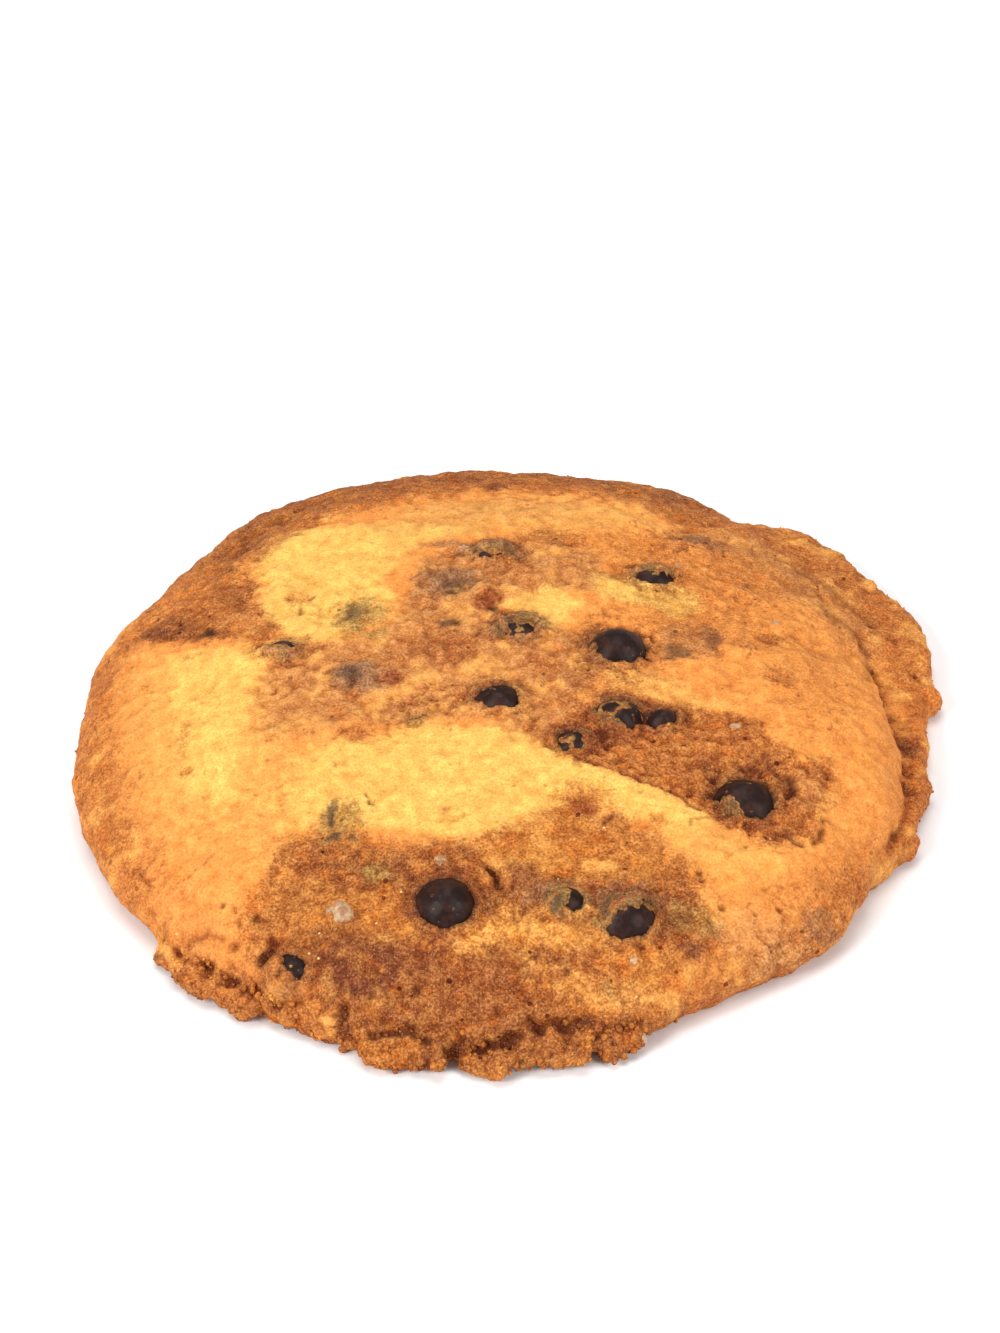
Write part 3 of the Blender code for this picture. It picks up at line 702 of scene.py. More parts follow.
@dataclass(frozen=True)
class BakedCrumb:
    """The crumb that every dough finish shares: its grain, mottling, pores and sugar sparkle.

    A wave or a cell is a length in metres. A contrast says how far its noise lightens and darkens the tone.
    """

    fine_wave: float = 0.28 * MM
    fine_contrast: float = 2.3
    middle_wave: float = 1.1 * MM
    middle_contrast: float = 1.1
    broad_wave: float = 4.5 * MM
    broad_contrast: float = 0.28
    darkest: float = 0.62
    green_fall: float = 1.5
    blue_fall: float = 1.9
    warm_wave: float = 2.2 * MM
    warm_tint: Colour = (1.0, 0.80, 0.55)
    sparkle_cell: float = 0.27 * MM
    sparkle_from: float = 0.62
    sparkle_strength: float = 0.8
    sparkle_cream: float = 0.34
    cream: Colour = (1.0, 0.56, 0.22)
    pore_cell: float = 1.7 * MM
    pore_size: float = 0.20
    pore_edge: float = 0.07
    pore_shade: Colour = (0.30, 0.17, 0.12)

    def group(self) -> bpy.types.NodeTree:
        """Builds the shared effect.

        Returns:
            A node group that turns a tone and a strength of grain into a colour, a roughness and a height.
        """
        group = bpy.data.node_groups.new("baked crumb", "ShaderNodeTree")
        for name, side, kind in (("Tone", "INPUT", "Color"), ("Grain", "INPUT", "Float"),
                                 ("Colour", "OUTPUT", "Color"), ("Roughness", "OUTPUT", "Float"),
                                 ("Height", "OUTPUT", "Float")):
            group.interface.new_socket(name, in_out=side, socket_type="NodeSocket" + kind)
        wire = Wiring(group)
        given = wire.add("NodeGroupInput")
        tone, strength = given.outputs["Tone"], given.outputs["Grain"]
        place = wire.add("TexCoord").outputs["Object"]
        fine = wire.grain(place, self.fine_wave, 2.0)
        middle = wire.grain(place, self.middle_wave)

        colour = self.mottled(wire, place, tone, strength, fine, middle)
        colour, bright = self.sparkling(wire, place, colour, strength)
        colour, hole = self.porous(wire, place, colour, strength)

        height = wire.plus(wire.times(fine, 0.60), wire.times(middle, 0.9))
        height = wire.plus(height, wire.times(bright, 0.30))
        height = wire.minus(height, wire.times(hole, 1.1))
        height = wire.times(height, wire.plus(0.50, wire.times(strength, 0.55)))
        rough = wire.minus(wire.plus(0.62, wire.times(middle, 0.30)), wire.times(bright, 0.30))
        wire.add("NodeGroupOutput", {"Colour": colour, "Roughness": rough, "Height": height})
        return group

    def mottled(self, wire: Wiring, place: Socket, tone: Socket, strength: Socket, fine: Socket,
                middle: Socket) -> Socket:
        """Lightens and darkens the tone by three sizes of grain, and warms it in stretches.

        Args:
            wire: The group's wiring.
            place: The place on the piece.
            tone: The painted tone.
            strength: How strongly the grain shows.
            fine: The fine grain.
            middle: The middle grain.

        Returns:
            The mottled colour.
        """
        spread = wire.times(wire.minus(fine, 0.5), self.fine_contrast)
        spread = wire.plus(spread, wire.times(wire.minus(middle, 0.5), self.middle_contrast))
        value = wire.plus(1.0, wire.times(spread, strength))
        broad = wire.times(wire.grain(place, self.broad_wave, 2.0), self.broad_contrast)
        value = wire.times(value, wire.plus(1 - self.broad_contrast / 2, broad))
        value = wire.math("MAXIMUM", value, self.darkest)
        shade = wire.add("CombineColor", {
            "Red": value,
            "Green": wire.math("POWER", value, self.green_fall),
            "Blue": wire.math("POWER", value, self.blue_fall),
        }).outputs["Color"]
        colour = wire.mix(1.0, tone, shade, "MULTIPLY")
        warm = wire.mix(1.0, colour, (*self.warm_tint, 1.0), "MULTIPLY")
        stretches = wire.step(wire.grain(place, self.warm_wave), 0.48, 0.72)
        return wire.mix(wire.times(stretches, strength, clamp=True), colour, warm)

    def sparkling(
        self, wire: Wiring, place: Socket, colour: Socket, strength: Socket
    ) -> tuple[Socket, Socket]:
        """Sets creamy glints of sugar and crumb into the colour.

        Args:
            wire: The group's wiring.
            place: The place on the piece.
            colour: The colour so far.
            strength: How strongly the grain shows.

        Returns:
            The new colour, and where the glints are.
        """
        distance, pick = wire.cells(place, self.sparkle_cell)
        chosen = wire.math("GREATER_THAN", pick, self.sparkle_from)
        bright = wire.times(chosen, wire.step(distance, 0.42, 0.12))
        cream = wire.mix(self.sparkle_cream, colour, (*self.cream, 1.0))
        share = wire.times(bright, wire.times(strength, self.sparkle_strength), clamp=True)
        return wire.mix(share, colour, cream), bright

    def porous(self, wire: Wiring, place: Socket, colour: Socket, strength: Socket) -> tuple[Socket, Socket]:
        """Paints shade in small pores by darkening the colour.

        Args:
            wire: The group's wiring.
            place: The place on the piece.
            colour: The colour so far.
            strength: How strongly the grain shows.

        Returns:
            The new colour, and where the pores are.
        """
        distance, pick = wire.cells(place, self.pore_cell)
        size = wire.times(wire.step(pick, 0.45, 1.0), self.pore_size)
        inside = wire.step(wire.minus(size, distance), 0.0, self.pore_edge)
        hole = wire.times(inside, wire.times(strength, 0.9), clamp=True)
        # Painted shade inside each pore.
        deep = wire.mix(1.0, colour, (*self.pore_shade, 1.0), "MULTIPLY")
        return wire.mix(hole, colour, deep), hole


def new_material(name: str) -> tuple[bpy.types.Material, Wiring, bpy.types.Node]:
    """Makes a material with nodes.

    Args:
        name: The material's name.

    Returns:
        The material, its wiring and its main shader.
    """
    made = bpy.data.materials.new(name)
    made.use_nodes = True
    return made, Wiring(made.node_tree), made.node_tree.nodes["Principled BSDF"]


@dataclass(frozen=True)
class DoughFinish:
    """Baked dough: the painted tone under the shared crumb, dull with a trace of butter."""

    name: str
    crumb: bpy.types.NodeTree
    bump: float = 0.85
    bump_height: float = 0.17 * MM
    shine: float = 0.14

    def material(self) -> bpy.types.Material:
        """Builds the material.

        Returns:
            The finished material.
        """
        made, wire, shader = new_material(self.name)
        tone = wire.add("Attribute", attribute_name="tone").outputs["Color"]
        grain = wire.add("Attribute", attribute_name="grain").outputs["Fac"]
        group = wire.add("Group", node_tree=self.crumb)
        wire.feed(group.inputs["Tone"], tone)
        wire.feed(group.inputs["Grain"], grain)
        bump = wire.add("Bump", {"Strength": self.bump, "Distance": self.bump_height,
                                 "Height": group.outputs["Height"]})
        wire.feed(shader.inputs["Base Color"], group.outputs["Colour"])
        wire.feed(shader.inputs["Roughness"], group.outputs["Roughness"])
        wire.feed(shader.inputs["Normal"], bump.outputs["Normal"])
        shader.inputs["Specular IOR Level"].default_value = self.shine
        return made


@dataclass(frozen=True)
class ChocolateFinish:
    """Dark chocolate with a satin skin, dusted with crumb where dough covers it."""

    name: str
    crumb: bpy.types.NodeTree
    dark: Colour = (0.015, 0.0045, 0.0030)
    bloom: Colour = (0.046, 0.015, 0.009)
    haze_wave: float = 1.6 * MM
    speck: Colour = (0.30, 0.15, 0.08)
    speck_cell: float = 0.5 * MM
    speck_from: float = 0.95
    speck_strength: float = 0.30
    crumb_grain: float = 0.9
    crumb_height: float = 0.6
    ragged_wave: float = 0.7 * MM
    ragged: float = 0.9
    skin_wave: float = 0.55 * MM
    skin_height: float = 0.5
    satin: float = 0.30
    haze_dulls: float = 0.36
    bump: float = 0.5
    bump_height: float = 0.14 * MM
    shine: float = 0.20

    def material(self) -> bpy.types.Material:
        """Builds the material.

        Returns:
            The finished material.
        """
        made, wire, shader = new_material(self.name)
        place = wire.add("TexCoord").outputs["Object"]
        crumb = wire.add("Group", node_tree=self.crumb)
        wire.feed(crumb.inputs["Tone"], wire.add("Attribute", attribute_name="tone").outputs["Color"])
        crumb.inputs["Grain"].default_value = self.crumb_grain

        haze = wire.grain(place, self.haze_wave)
        skin = wire.mix(wire.step(haze, 0.42, 0.70), (*self.dark, 1.0), (*self.bloom, 1.0))
        distance, pick = wire.cells(place, self.speck_cell)
        speck = wire.times(wire.math("GREATER_THAN", pick, self.speck_from), wire.step(distance, 0.34, 0.12))
        skin = wire.mix(wire.times(speck, self.speck_strength), skin, (*self.speck, 1.0))
        skin_rough = wire.plus(self.satin, wire.times(haze, self.haze_dulls))
        skin_height = wire.times(wire.grain(place, self.skin_wave), self.skin_height)

        cover = wire.add("Attribute", attribute_name="cover").outputs["Fac"]
        ragged = wire.times(wire.minus(wire.grain(place, self.ragged_wave), 0.5), self.ragged)
        share = wire.step(wire.plus(cover, ragged), 0.42, 0.58)
        crumb_height = wire.plus(crumb.outputs["Height"], self.crumb_height)
        bump = wire.add("Bump", {"Strength": self.bump, "Distance": self.bump_height,
                                 "Height": wire.blend(share, skin_height, crumb_height)})
        wire.feed(shader.inputs["Base Color"], wire.mix(share, skin, crumb.outputs["Colour"]))
        wire.feed(shader.inputs["Roughness"], wire.blend(share, skin_rough, crumb.outputs["Roughness"]))
        wire.feed(shader.inputs["Normal"], bump.outputs["Normal"])
        shader.inputs["Specular IOR Level"].default_value = self.shine
        return made


@dataclass(frozen=True)
class SugarFinish:
    """Coarse sugar: a clear, creamy grain with frosted faces."""

    name: str
    light: Colour = (0.60, 0.40, 0.22)
    stained: Colour = (0.42, 0.20, 0.09)
    cloud_wave: float = 0.7 * MM
    polish: float = 0.10
    frost: float = 0.35
    coat: float = 0.2
    bump: float = 0.4
    bump_wave: float = 0.3 * MM
    bump_height: float = 0.08 * MM

    def material(self) -> bpy.types.Material:
        """Builds the material.

        Returns:
            The finished material.
        """
        made, wire, shader = new_material(self.name)
        place = wire.add("TexCoord").outputs["Object"]
        cloud = wire.grain(place, self.cloud_wave)
        colour = wire.mix(wire.step(cloud, 0.38, 0.60), (*self.light, 1.0), (*self.stained, 1.0))
        bump = wire.add("Bump", {"Strength": self.bump, "Distance": self.bump_height,
                                 "Height": wire.grain(place, self.bump_wave)})
        wire.feed(shader.inputs["Base Color"], colour)
        wire.feed(shader.inputs["Roughness"], wire.plus(self.polish, wire.times(cloud, self.frost)))
        wire.feed(shader.inputs["Normal"], bump.outputs["Normal"])
        shader.inputs["Coat Weight"].default_value = self.coat
        return made


@dataclass(frozen=True)
class FloorFinish:
    """A seamless white studio floor."""

    name: str
    white: float = 0.96
    warmth: float = 0.01
    cloud_wave: float = 0.08
    dullness: float = 0.9
    shine: float = 0.1

    def material(self) -> bpy.types.Material:
        """Builds the material.

        Returns:
            The finished material.
        """
        made, wire, shader = new_material(self.name)
        cloud = wire.grain(wire.add("TexCoord").outputs["Object"], self.cloud_wave, 2.0)
        near = (self.white, self.white, self.white, 1.0)
        far = (self.white - self.warmth, self.white - self.warmth, self.white, 1.0)
        wire.feed(shader.inputs["Base Color"], wire.mix(cloud, near, far))
        shader.inputs["Roughness"].default_value = self.dullness
        shader.inputs["Specular IOR Level"].default_value = self.shine
        return made


@dataclass
class Chip:
    """One chip that shows, and how the dough covers it.

    The bearing is the side that is covered, in degrees anticlockwise from the right, and share how much of
    it. The skirt is the width of the crust's edge over the chip in millimetres, and ragged how uneven it is.
    The chip is swollen by fatten and dented by dent and dimple, in millimetres. Dust is the crumb on its bare
    side, and smear is the chocolate on the crust that covers it.
    """

    node: str
    bearing: float
    share: float
    skirt: float = 0.42
    ragged: float = 0.30
    fatten: float = 0.24
    levels: int = 3
    dent: float = 0.14
    dust: float = 0.35
    smear: float = 0.5
    dimple: float = 0.05

    def build(self, material: bpy.types.Material, number: int) -> Piece:
        """Makes the piece.

        Args:
            material: The chocolate's material.
            number: The chip's number, which sets its own dents.

        Returns:
            The finished piece.
        """
        piece = copy_of_node(self.node, self.node.replace("chip", "baked_chip"))
        self.swell(piece)
        places = places_of(piece.data)
        lift = self.dent * noise_at(places, wave=2.4, seed=number * 2.3)
        lift += self.dimple * noise_at(places, wave=0.8, seed=number * 1.7)
        move_to(piece.data, places + normals_of(piece.data) * lift[:, None])
        paint = Paint(piece.data, Tone.BROWN)
        paint.lay(Tone.OLIVE, 0.5 + noise_at(places, wave=0.9, seed=number + 3.1))
        paint.store()
        dusty = self.dust * (0.55 + noise_at(places, wave=1.5, seed=number + 9.4, octaves=2))
        dusty += 0.6 * self.cover_at(places, number)
        cover = piece.data.attributes.new("cover", "FLOAT", "POINT")
        cover.data.foreach_set("value", np.clip(dusty, 0, 1).astype(np.float32))
        piece.data.materials.append(material)
        select_only(piece)
        bpy.ops.object.shade_smooth()
        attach(piece, "root")
        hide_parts(self.node)
        return piece

    def swell(self, piece: Piece) -> None:
        """Closes the gap round the chip and gives it a finer skin."""
        fatten(piece, self.fatten)
        apply_modifier(piece, "SUBSURF", levels=self.levels, render_levels=self.levels)

    def room(self, margin: float) -> tuple[np.ndarray, np.ndarray]:
        """The corners of the chip's box with a margin round it, in millimetres."""
        low, high = (np.array(corner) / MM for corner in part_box(self.node))
        return low - margin, high + margin

    def cover_at(self, places: np.ndarray, number: int) -> np.ndarray:
        """How far the dough creeps over the chip from its side.

        Args:
            places: Rows of x, y, z in millimetres, near the chip.
            number: The chip's number.

        Returns:
            One value a row, from 0 to 1.
        """
        low, high = self.room(0.0)
        unit = (places - (low + high) / 2) / ((high - low) / 2)
        angle = math.radians(self.bearing)
        toward = unit[:, 0] * math.cos(angle) + unit[:, 1] * math.sin(angle)
        toward += 0.28 * noise_at(places, wave=1.4, seed=number + 0.7)
        toward += 0.16 * noise_at(places, wave=0.6, seed=number + 6.1)
        line = 1 - 2 * self.share
        return ramp(toward, line - 0.10, line + 0.10)


CHIPS = (
    Chip("chip_front_round", 60, 0.08, 0.34, 0.22, dust=0.30, smear=0.30),
    Chip("chip_front_crumbed", 185, 0.55, 0.40, smear=0.85),
    Chip("chip_front_crescent", 125, 0.64, 0.26, smear=0.75),
    Chip("chip_right", 228, 0.24, 0.38, smear=0.60),
    Chip("chip_back_large", 200, 0.12, 0.34, 0.42, smear=0.15),
    Chip("chip_middle_crescent", 225, 0.20, 0.24, 0.30, dust=0.70, smear=0.55),
    Chip("chip_middle_small", 90, 0.12, smear=0.15),
    Chip("chip_middle_toasted", 20, 0.36, dust=0.65, smear=0.08),
    Chip("chip_centre", 100, 0.34, ragged=0.42, smear=0.10),
    Chip("chip_left_edge", 250, 0.50, 0.42, dust=0.95, smear=0.60),
    Chip("chip_behind_centre", 120, 0.60, 0.50, 0.45, dust=0.75, smear=0.75),
    Chip("chip_back_right", 90, 0.56, 0.40, smear=0.55),
    Chip("chip_back_streak", 80, 0.66, 0.50, 0.45, dust=0.80, smear=0.55),
    Chip("chip_foot_left", 210, 0.32, 0.55, smear=0.12),
)


def fatten(piece: Piece, thickness: float) -> None:
    """Moves a closed piece's skin outwards.

    Args:
        piece: The piece to swell.
        thickness: How far, in millimetres.
    """
    select_only(piece)
    bpy.ops.object.mode_set(mode="EDIT")
    bpy.ops.mesh.select_all(action="SELECT")
    bpy.ops.mesh.tris_convert_to_quads()
    bpy.ops.transform.shrink_fatten(value=thickness * MM)
    bpy.ops.object.mode_set(mode="OBJECT")


@dataclass
class Crust:
    """The baked dough: a fine skin over the plain solid, with its crumb, cracks and marbling."""

    chips: list[Piece]
    dough: BVHTree
    voxel: float = 0.39 * MM
    plug_grown: float = 0.40
    smoothing: int = 7
    base_keep: float = 0.59
    swell_height: float = 0.34
    crumb_height: float = 0.20
    cell_height: float = 0.18
    crease_height: float = 0.20
    crack_depth: float = 0.18
    foot_height: float = 0.62
    stain_and_shade_reach: float = 1.7
    bare_depth: float = 0.75
    cover_height: float = 0.22
    front_crags: float = 0.22
    frill_crumb: float = 0.28
    rim_crumb: float = 0.22
    pit_shade: float = 0.8
    base_level: float = 0.25
    base_facing: float = -0.98
    base_pits: float = 0.10
    lift: np.ndarray = field(init=False)
    bare: np.ndarray = field(init=False)

    def build(self, material: bpy.types.Material) -> Piece:
        """Makes the piece.

        Args:
            material: The dough's material.

        Returns:
            The finished piece.
        """
        piece = self.body()
        apply_modifier(piece, "REMESH", mode="VOXEL", voxel_size=self.voxel)
        apply_modifier(piece, "SMOOTH", factor=0.5, iterations=self.smoothing)
        self.thin_base(piece)
        self.roughen(piece.data)
        self.paint(piece.data)
        piece.data.materials.append(material)
        select_only(piece)
        bpy.ops.object.shade_smooth()
        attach(piece, "root")
        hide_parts("dough")
        return piece

    def body(self) -> Piece:
        """Fills the dough's sockets, so that the crust can lie over the chips' edges.

        Returns:
            The dough and a plug for each chip as one object.
        """
        parts = [copy_of_node("dough", "crust")]
        for chip in CHIPS:
            plug = copy_of_node(chip.node, "plug")
            fatten(plug, self.plug_grown)
            parts.append(plug)
        return joined(parts, "crust")

    def thin_base(self, piece: Piece) -> None:
        """Takes most faces out of the flat underside.

        Args:
            piece: The crust.
        """
        group = piece.vertex_groups.new(name="base")
        low = places_of(piece.data)[:, 2] < self.base_level
        down = normals_of(piece.data)[:, 2] < self.base_facing
        group.add(np.nonzero(low & down)[0].tolist(), 1.0, "REPLACE")
        apply_modifier(piece, "DECIMATE", ratio=self.base_keep, vertex_group="base")
        piece.vertex_groups.clear()

    def foot_share(self, places: np.ndarray) -> np.ndarray:
        """Where the crumbly foot is: all of the front lumps and ledge, less of the frill.

        Args:
            places: The crust's points, in millimetres.

        Returns:
            One share a point, from 0 to 1.
        """
        bearing = bearing_of(places)
        front = along(bearing, 216, 226, 284, 292)
        frill = along(bearing, 325, 335, 410, 420) * self.frill_crumb
        low = ramp(places[:, 2], 5.2, 3.4) * ramp(reach_of(places), 41, 44)
        return low * np.maximum(np.maximum(front, frill), self.rim_crumb)

    def roughen(self, mesh: bpy.types.Mesh) -> None:
        """Moves every point along its normal by the crumb, the cracks and the pits.

        Args:
            mesh: The crust's mesh.
        """
        places = places_of(mesh)
        normals = normals_of(mesh)
        plan = places[:, :2]
        top = ramp(normals[:, 2], -0.2, 0.3)
        foot = self.foot_share(places)
        lift = self.swell_height * noise_at(places, wave=4.6, seed=1.7)
        lift += self.crumb_height * noise_at(places, wave=1.9, seed=8.3, octaves=3)
        lift += self.cell_height * (0.55 - cells_at(places, size=1.4, seed=4.1))
        lift += self.crease_height * (np.abs(noise_at(places, wave=3.0, seed=13.9, octaves=3)) - 0.25)
        crags = np.abs(noise_at(places, wave=2.2, seed=27.3, octaves=3)) - 0.25
        crags += 0.6 * (0.5 - cells_at(places, size=1.5, seed=16.2))
        lift += self.front_crags * ramp(plan[:, 1], -22, -36) * crags
        for patch in PATCHES:
            if patch.crags:
                lift += patch.crags * ramp(inside_by(plan, patch.outline), -1.0, 1.5) * crags
        rough = 0.7 * noise_at(places, wave=2.2, seed=2.9, octaves=3)
        rough += 0.5 - cells_at(places, size=1.9, seed=6.2)
        lift += self.foot_height * foot * rough
        self.lift = lift.copy()
        self.bare = self.bare_share(places)
        lift = lift * (1 - self.bare) - self.bare_depth * self.bare
        lift += self.cover_height * ramp(self.distance_to_chips(places), 1.2, 0.3) * (1 - self.bare) * top
        lift -= self.crack_depth * self.crack_share(places) * top
        for slit in SLITS:
            lift -= slit.depth * self.slit_share(slit, places) * top
        for pit in PITS:
            away = np.hypot(plan[:, 0] - pit.x, plan[:, 1] - pit.y)
            lift -= pit.depth * bell(away, pit.radius) * top
        base = ramp(places[:, 2], 0.6, 0.1) * ramp(normals[:, 2], -0.7, -0.95)
        pitted = ramp(cells_at(places, size=2.6, seed=3.3), 0.22, 0.08)
        lift = lift * (1 - base) - base * self.base_pits * pitted
        moved = places + normals * lift[:, None]
        moved[:, 2] = np.maximum(moved[:, 2], 0.0)
        move_to(mesh, moved)

    def paint(self, mesh: bpy.types.Mesh) -> None:
        """Lays the bake, marbling and stains, and paints shade in hollows, slits, pits and cracks and light
        on bumps.

        Args:
            mesh: The crust's mesh, with its relief.
        """
        places = places_of(mesh)
        normals = normals_of(mesh)
        warp = np.stack([
            0.9 * noise_at(places, wave=4.0, seed=11.0 + axis)
            + 0.40 * noise_at(places, wave=1.3, seed=17.0 + axis, octaves=2)
            for axis in range(2)
        ], axis=1)
        plan = places[:, :2] + warp
        fine = noise_at(places, wave=0.9, seed=23.0, octaves=2)
        broad = noise_at(places, wave=2.6, seed=29.0, octaves=3)
        specks = noise_at(places, wave=0.6, seed=43.0) + 0.6 * noise_at(places, wave=1.6, seed=47.0)
        top = ramp(normals[:, 2], -0.3, 0.2)
        paint = Paint(mesh, Tone.ORANGE)
        self.bake(paint, places, normals, plan)
        for patch in PATCHES:
            depth = inside_by(plan, patch.outline)
            paint.lay(patch.tone, ramp(depth + 0.6 * fine + 0.9 * broad, -patch.soft, patch.soft) * top)
        self.brown_rims(paint, places, plan)
        self.marble(paint, places)
        for dab in DABS:
            away = np.hypot((plan[:, 0] - dab.x) / dab.half_x, (plan[:, 1] - dab.y) / dab.half_y)
            paint.lay(dab.tone, dab.strength * ramp(away + 0.45 * specks, 1.15, 0.50) * top)
        self.stain_and_shade_by_chips(paint, places, fine, specks)
        # Painted shade along each slit.
        for slit in SLITS:
            paint.lay(Tone.CHOC, slit.stain * self.slit_share(slit, places) * top)
        # Painted shade in each pinhole.
        for pit in PITS:
            away = np.hypot(places[:, 0] - pit.x, places[:, 1] - pit.y)
            paint.lay(Tone.CHOC, self.pit_shade * bell(away, pit.radius) * top)
        # Painted shade in the hollows of the relief, small to wide, with painted light on its bumps.
        small = cavity_of(mesh, places, normals, 4)
        middle = cavity_of(mesh, places, normals, 14)
        wide = cavity_of(mesh, places, normals, 36)
        paint.lay(Tone.UMBER, ramp(wide, 0.14, 0.60) * 0.75)
        paint.toast(np.clip(small / 0.08, -1.0, 1.8) * 0.09 * (0.3 + paint.grain))
        paint.toast(np.clip(middle / 0.14, -0.6, 1.6) * 0.07)
        # Painted shade in the hairline cracks.
        paint.lay(Tone.UMBER, self.crack_share(places) * (0.15 + 0.45 * ramp(paint.grain, 0.3, 0.6)) * top)
        paint.store()

    def crack_share(self, places: np.ndarray) -> np.ndarray:
        """Where the crust has hairline cracks, from 0 to 1."""
        line = ramp(np.abs(noise_at(places, wave=3.4, seed=81.0, octaves=2)), 0.10, 0.0)
        return line * ramp(noise_at(places, wave=5.0, seed=87.0, octaves=2), 0.24, 0.50)

    def slit_share(self, slit: Slit, places: np.ndarray) -> np.ndarray:
        """How open a slit is, wider here and pinched there.

        Args:
            slit: The slit.
            places: The crust's points, in millimetres.

        Returns:
            One share a point, from 0 to 1.
        """
        reach = slit.width * 4
        low = np.min(slit.path, axis=0) - reach
        high = np.max(slit.path, axis=0) + reach
        near = in_box(places[:, :2], low, high)
        close = places[near]
        wander = np.stack([noise_at(close, wave=1.1, seed=61.0 + axis) for axis in range(2)], axis=1)
        away = distance_to_path(close[:, :2] + 0.30 * wander, slit.path)
        width = slit.width * (0.85 + 0.6 * noise_at(close, wave=1.6, seed=67.0))
        share = np.zeros(len(places))
        share[near] = bell(away, width) * ramp(noise_at(close, wave=2.0, seed=71.0), -0.55, -0.05)
        return share

    def bake(self, paint: Paint, places: np.ndarray, normals: np.ndarray, plan: np.ndarray) -> None:
        """Browns the dough towards its edge, its foot and its base.

        Args:
            paint: The tones to change.
            places: The crust's points, in millimetres.
            normals: Their normals.
            plan: Their places in the plan, shifted to and fro so that no field ends in a clean line.
        """
        bearing = bearing_of(places)
        reach = reach_of(plan)
        turns = range(0, 360, 4)
        rim = [reach[np.abs((bearing - turn + 180) % 360 - 180) < 6].max() for turn in turns]
        share = reach / np.interp(bearing, turns, rim, period=360)
        paint.lay(Tone.EDGE, ramp(share, 0.80, 0.97))
        paint.lay(Tone.SIENNA, ramp(places[:, 2], 2.6, 0.9) * 0.75)
        paint.lay(Tone.UMBER, ramp(places[:, 2], 1.0, 0.1) * 0.55)
        under = ramp(normals[:, 2], -0.5, -0.9) * ramp(places[:, 2], 0.8, 0.3)
        paint.lay(Tone.BASE, under)
        paint.lay(Tone.UMBER, under * ramp(noise_at(places, wave=7.0, seed=31.0, octaves=3), 0.0, 0.6) * 0.7)
        paint.lay(Tone.SIENNA, under * ramp(noise_at(places, wave=9.0, seed=37.0, octaves=2), 0.1, 0.7) * 0.8)

    def brown_rims(self, paint: Paint, places: np.ndarray, plan: np.ndarray) -> None:
        """Browns the thin back rim, right frill and foot, and paints light and shade on the foot's lumps.

        Args:
            paint: The tones to change.
            places: The crust's points, in millimetres.
            plan: Their shifted places in the plan.
        """
        bearing = bearing_of(plan)
        reach = reach_of(plan)
        for rim in RIM_BAKES:
            paint.lay(rim.tone, along(bearing, *rim.bearings) * ramp(reach, *rim.reaches) * rim.strength)
        foot = self.foot_share(places)
        lumps = foot * ramp(bearing, 246, 252)
        paint.lay(Tone.BROWN, np.clip(lumps * 1.3, 0, 0.88))
        # Painted light on the raised crumb of the lumps.
        paint.lay(Tone.AMBER, lumps * ramp(self.lift, 0.10, 0.50) * 0.45)
        paint.lay(Tone.BROWN, foot * ramp(bearing, 250, 244) * ramp(bearing, 212, 222) * 0.60)
        paint.lay(Tone.UMBER, lumps * ramp(bearing, 258, 266) * 0.08)
        paint.lay(Tone.UMBER, foot * ramp(places[:, 2], 1.4, 0.2) * 0.7)
        # Painted shade in the hollows of the foot's relief.
        paint.lay(Tone.UMBER, foot * ramp(self.lift, -0.05, -0.35) * 0.8)

    def marble(self, paint: Paint, places: np.ndarray) -> None:
        """Breaks up each field with flecks and veins of its neighbours' tones.

        Args:
            paint: The tones to change.
            places: The crust's points, in millimetres.
        """
        veins = noise_at(places, wave=4.2, seed=51.0, octaves=3)
        flecks = noise_at(places, wave=1.7, seed=57.0, octaves=3)
        brown = ramp(paint.grain, 0.90, 1.22)
        pale = ramp(paint.grain, 0.38, 0.34)
        between = (1 - brown) * (1 - pale)
        paint.lay(Tone.AMBER, brown * ramp(veins + 0.3 * flecks, 0.0, 0.45) * 0.40)
        paint.lay(Tone.UMBER, brown * ramp(-veins - 0.3 * flecks, 0.15, 0.70) * 0.42)
        paint.lay(Tone.OCHRE, brown * ramp(flecks - 0.3 * veins, 0.25, 0.65) * 0.28)
        tan = ramp(paint.grain, 0.50, 0.60) * (1 - brown)
        paint.lay(Tone.SIENNA, between * ramp(veins + 0.5 * flecks, 0.05, 0.65) * (0.18 + 0.52 * tan))
        paint.lay(Tone.GOLD, between * ramp(-veins - 0.4 * flecks, 0.05, 0.60) * (0.22 + 0.40 * tan))
        paint.lay(Tone.GOLD, pale * ramp(veins + 0.4 * flecks, 0.05, 0.65) * 0.50)

    def bare_share(self, places: np.ndarray) -> np.ndarray:
        """Where the crust gives way to a bare chip.

        Args:
            places: The crust's points, in millimetres.

        Returns:
            One share a point, from 0 to 1.
        """
        bare = np.zeros(len(places))
        for number, chip in enumerate(CHIPS):
            near = in_box(places, *chip.room(1.0))
            close = places[near]
            clear = np.array([self.dough.find_nearest(place)[3] for place in close * MM]) / MM
            clear += chip.ragged * noise_at(close, wave=1.3, seed=number + 2.2)
            clear += chip.ragged * 0.6 * noise_at(close, wave=0.5, seed=number + 7.7)
            open_to = ramp(clear, chip.skirt, chip.skirt + 0.22)
            bare[near] = np.maximum(bare[near], open_to * (1 - chip.cover_at(close, number)))
        return bare

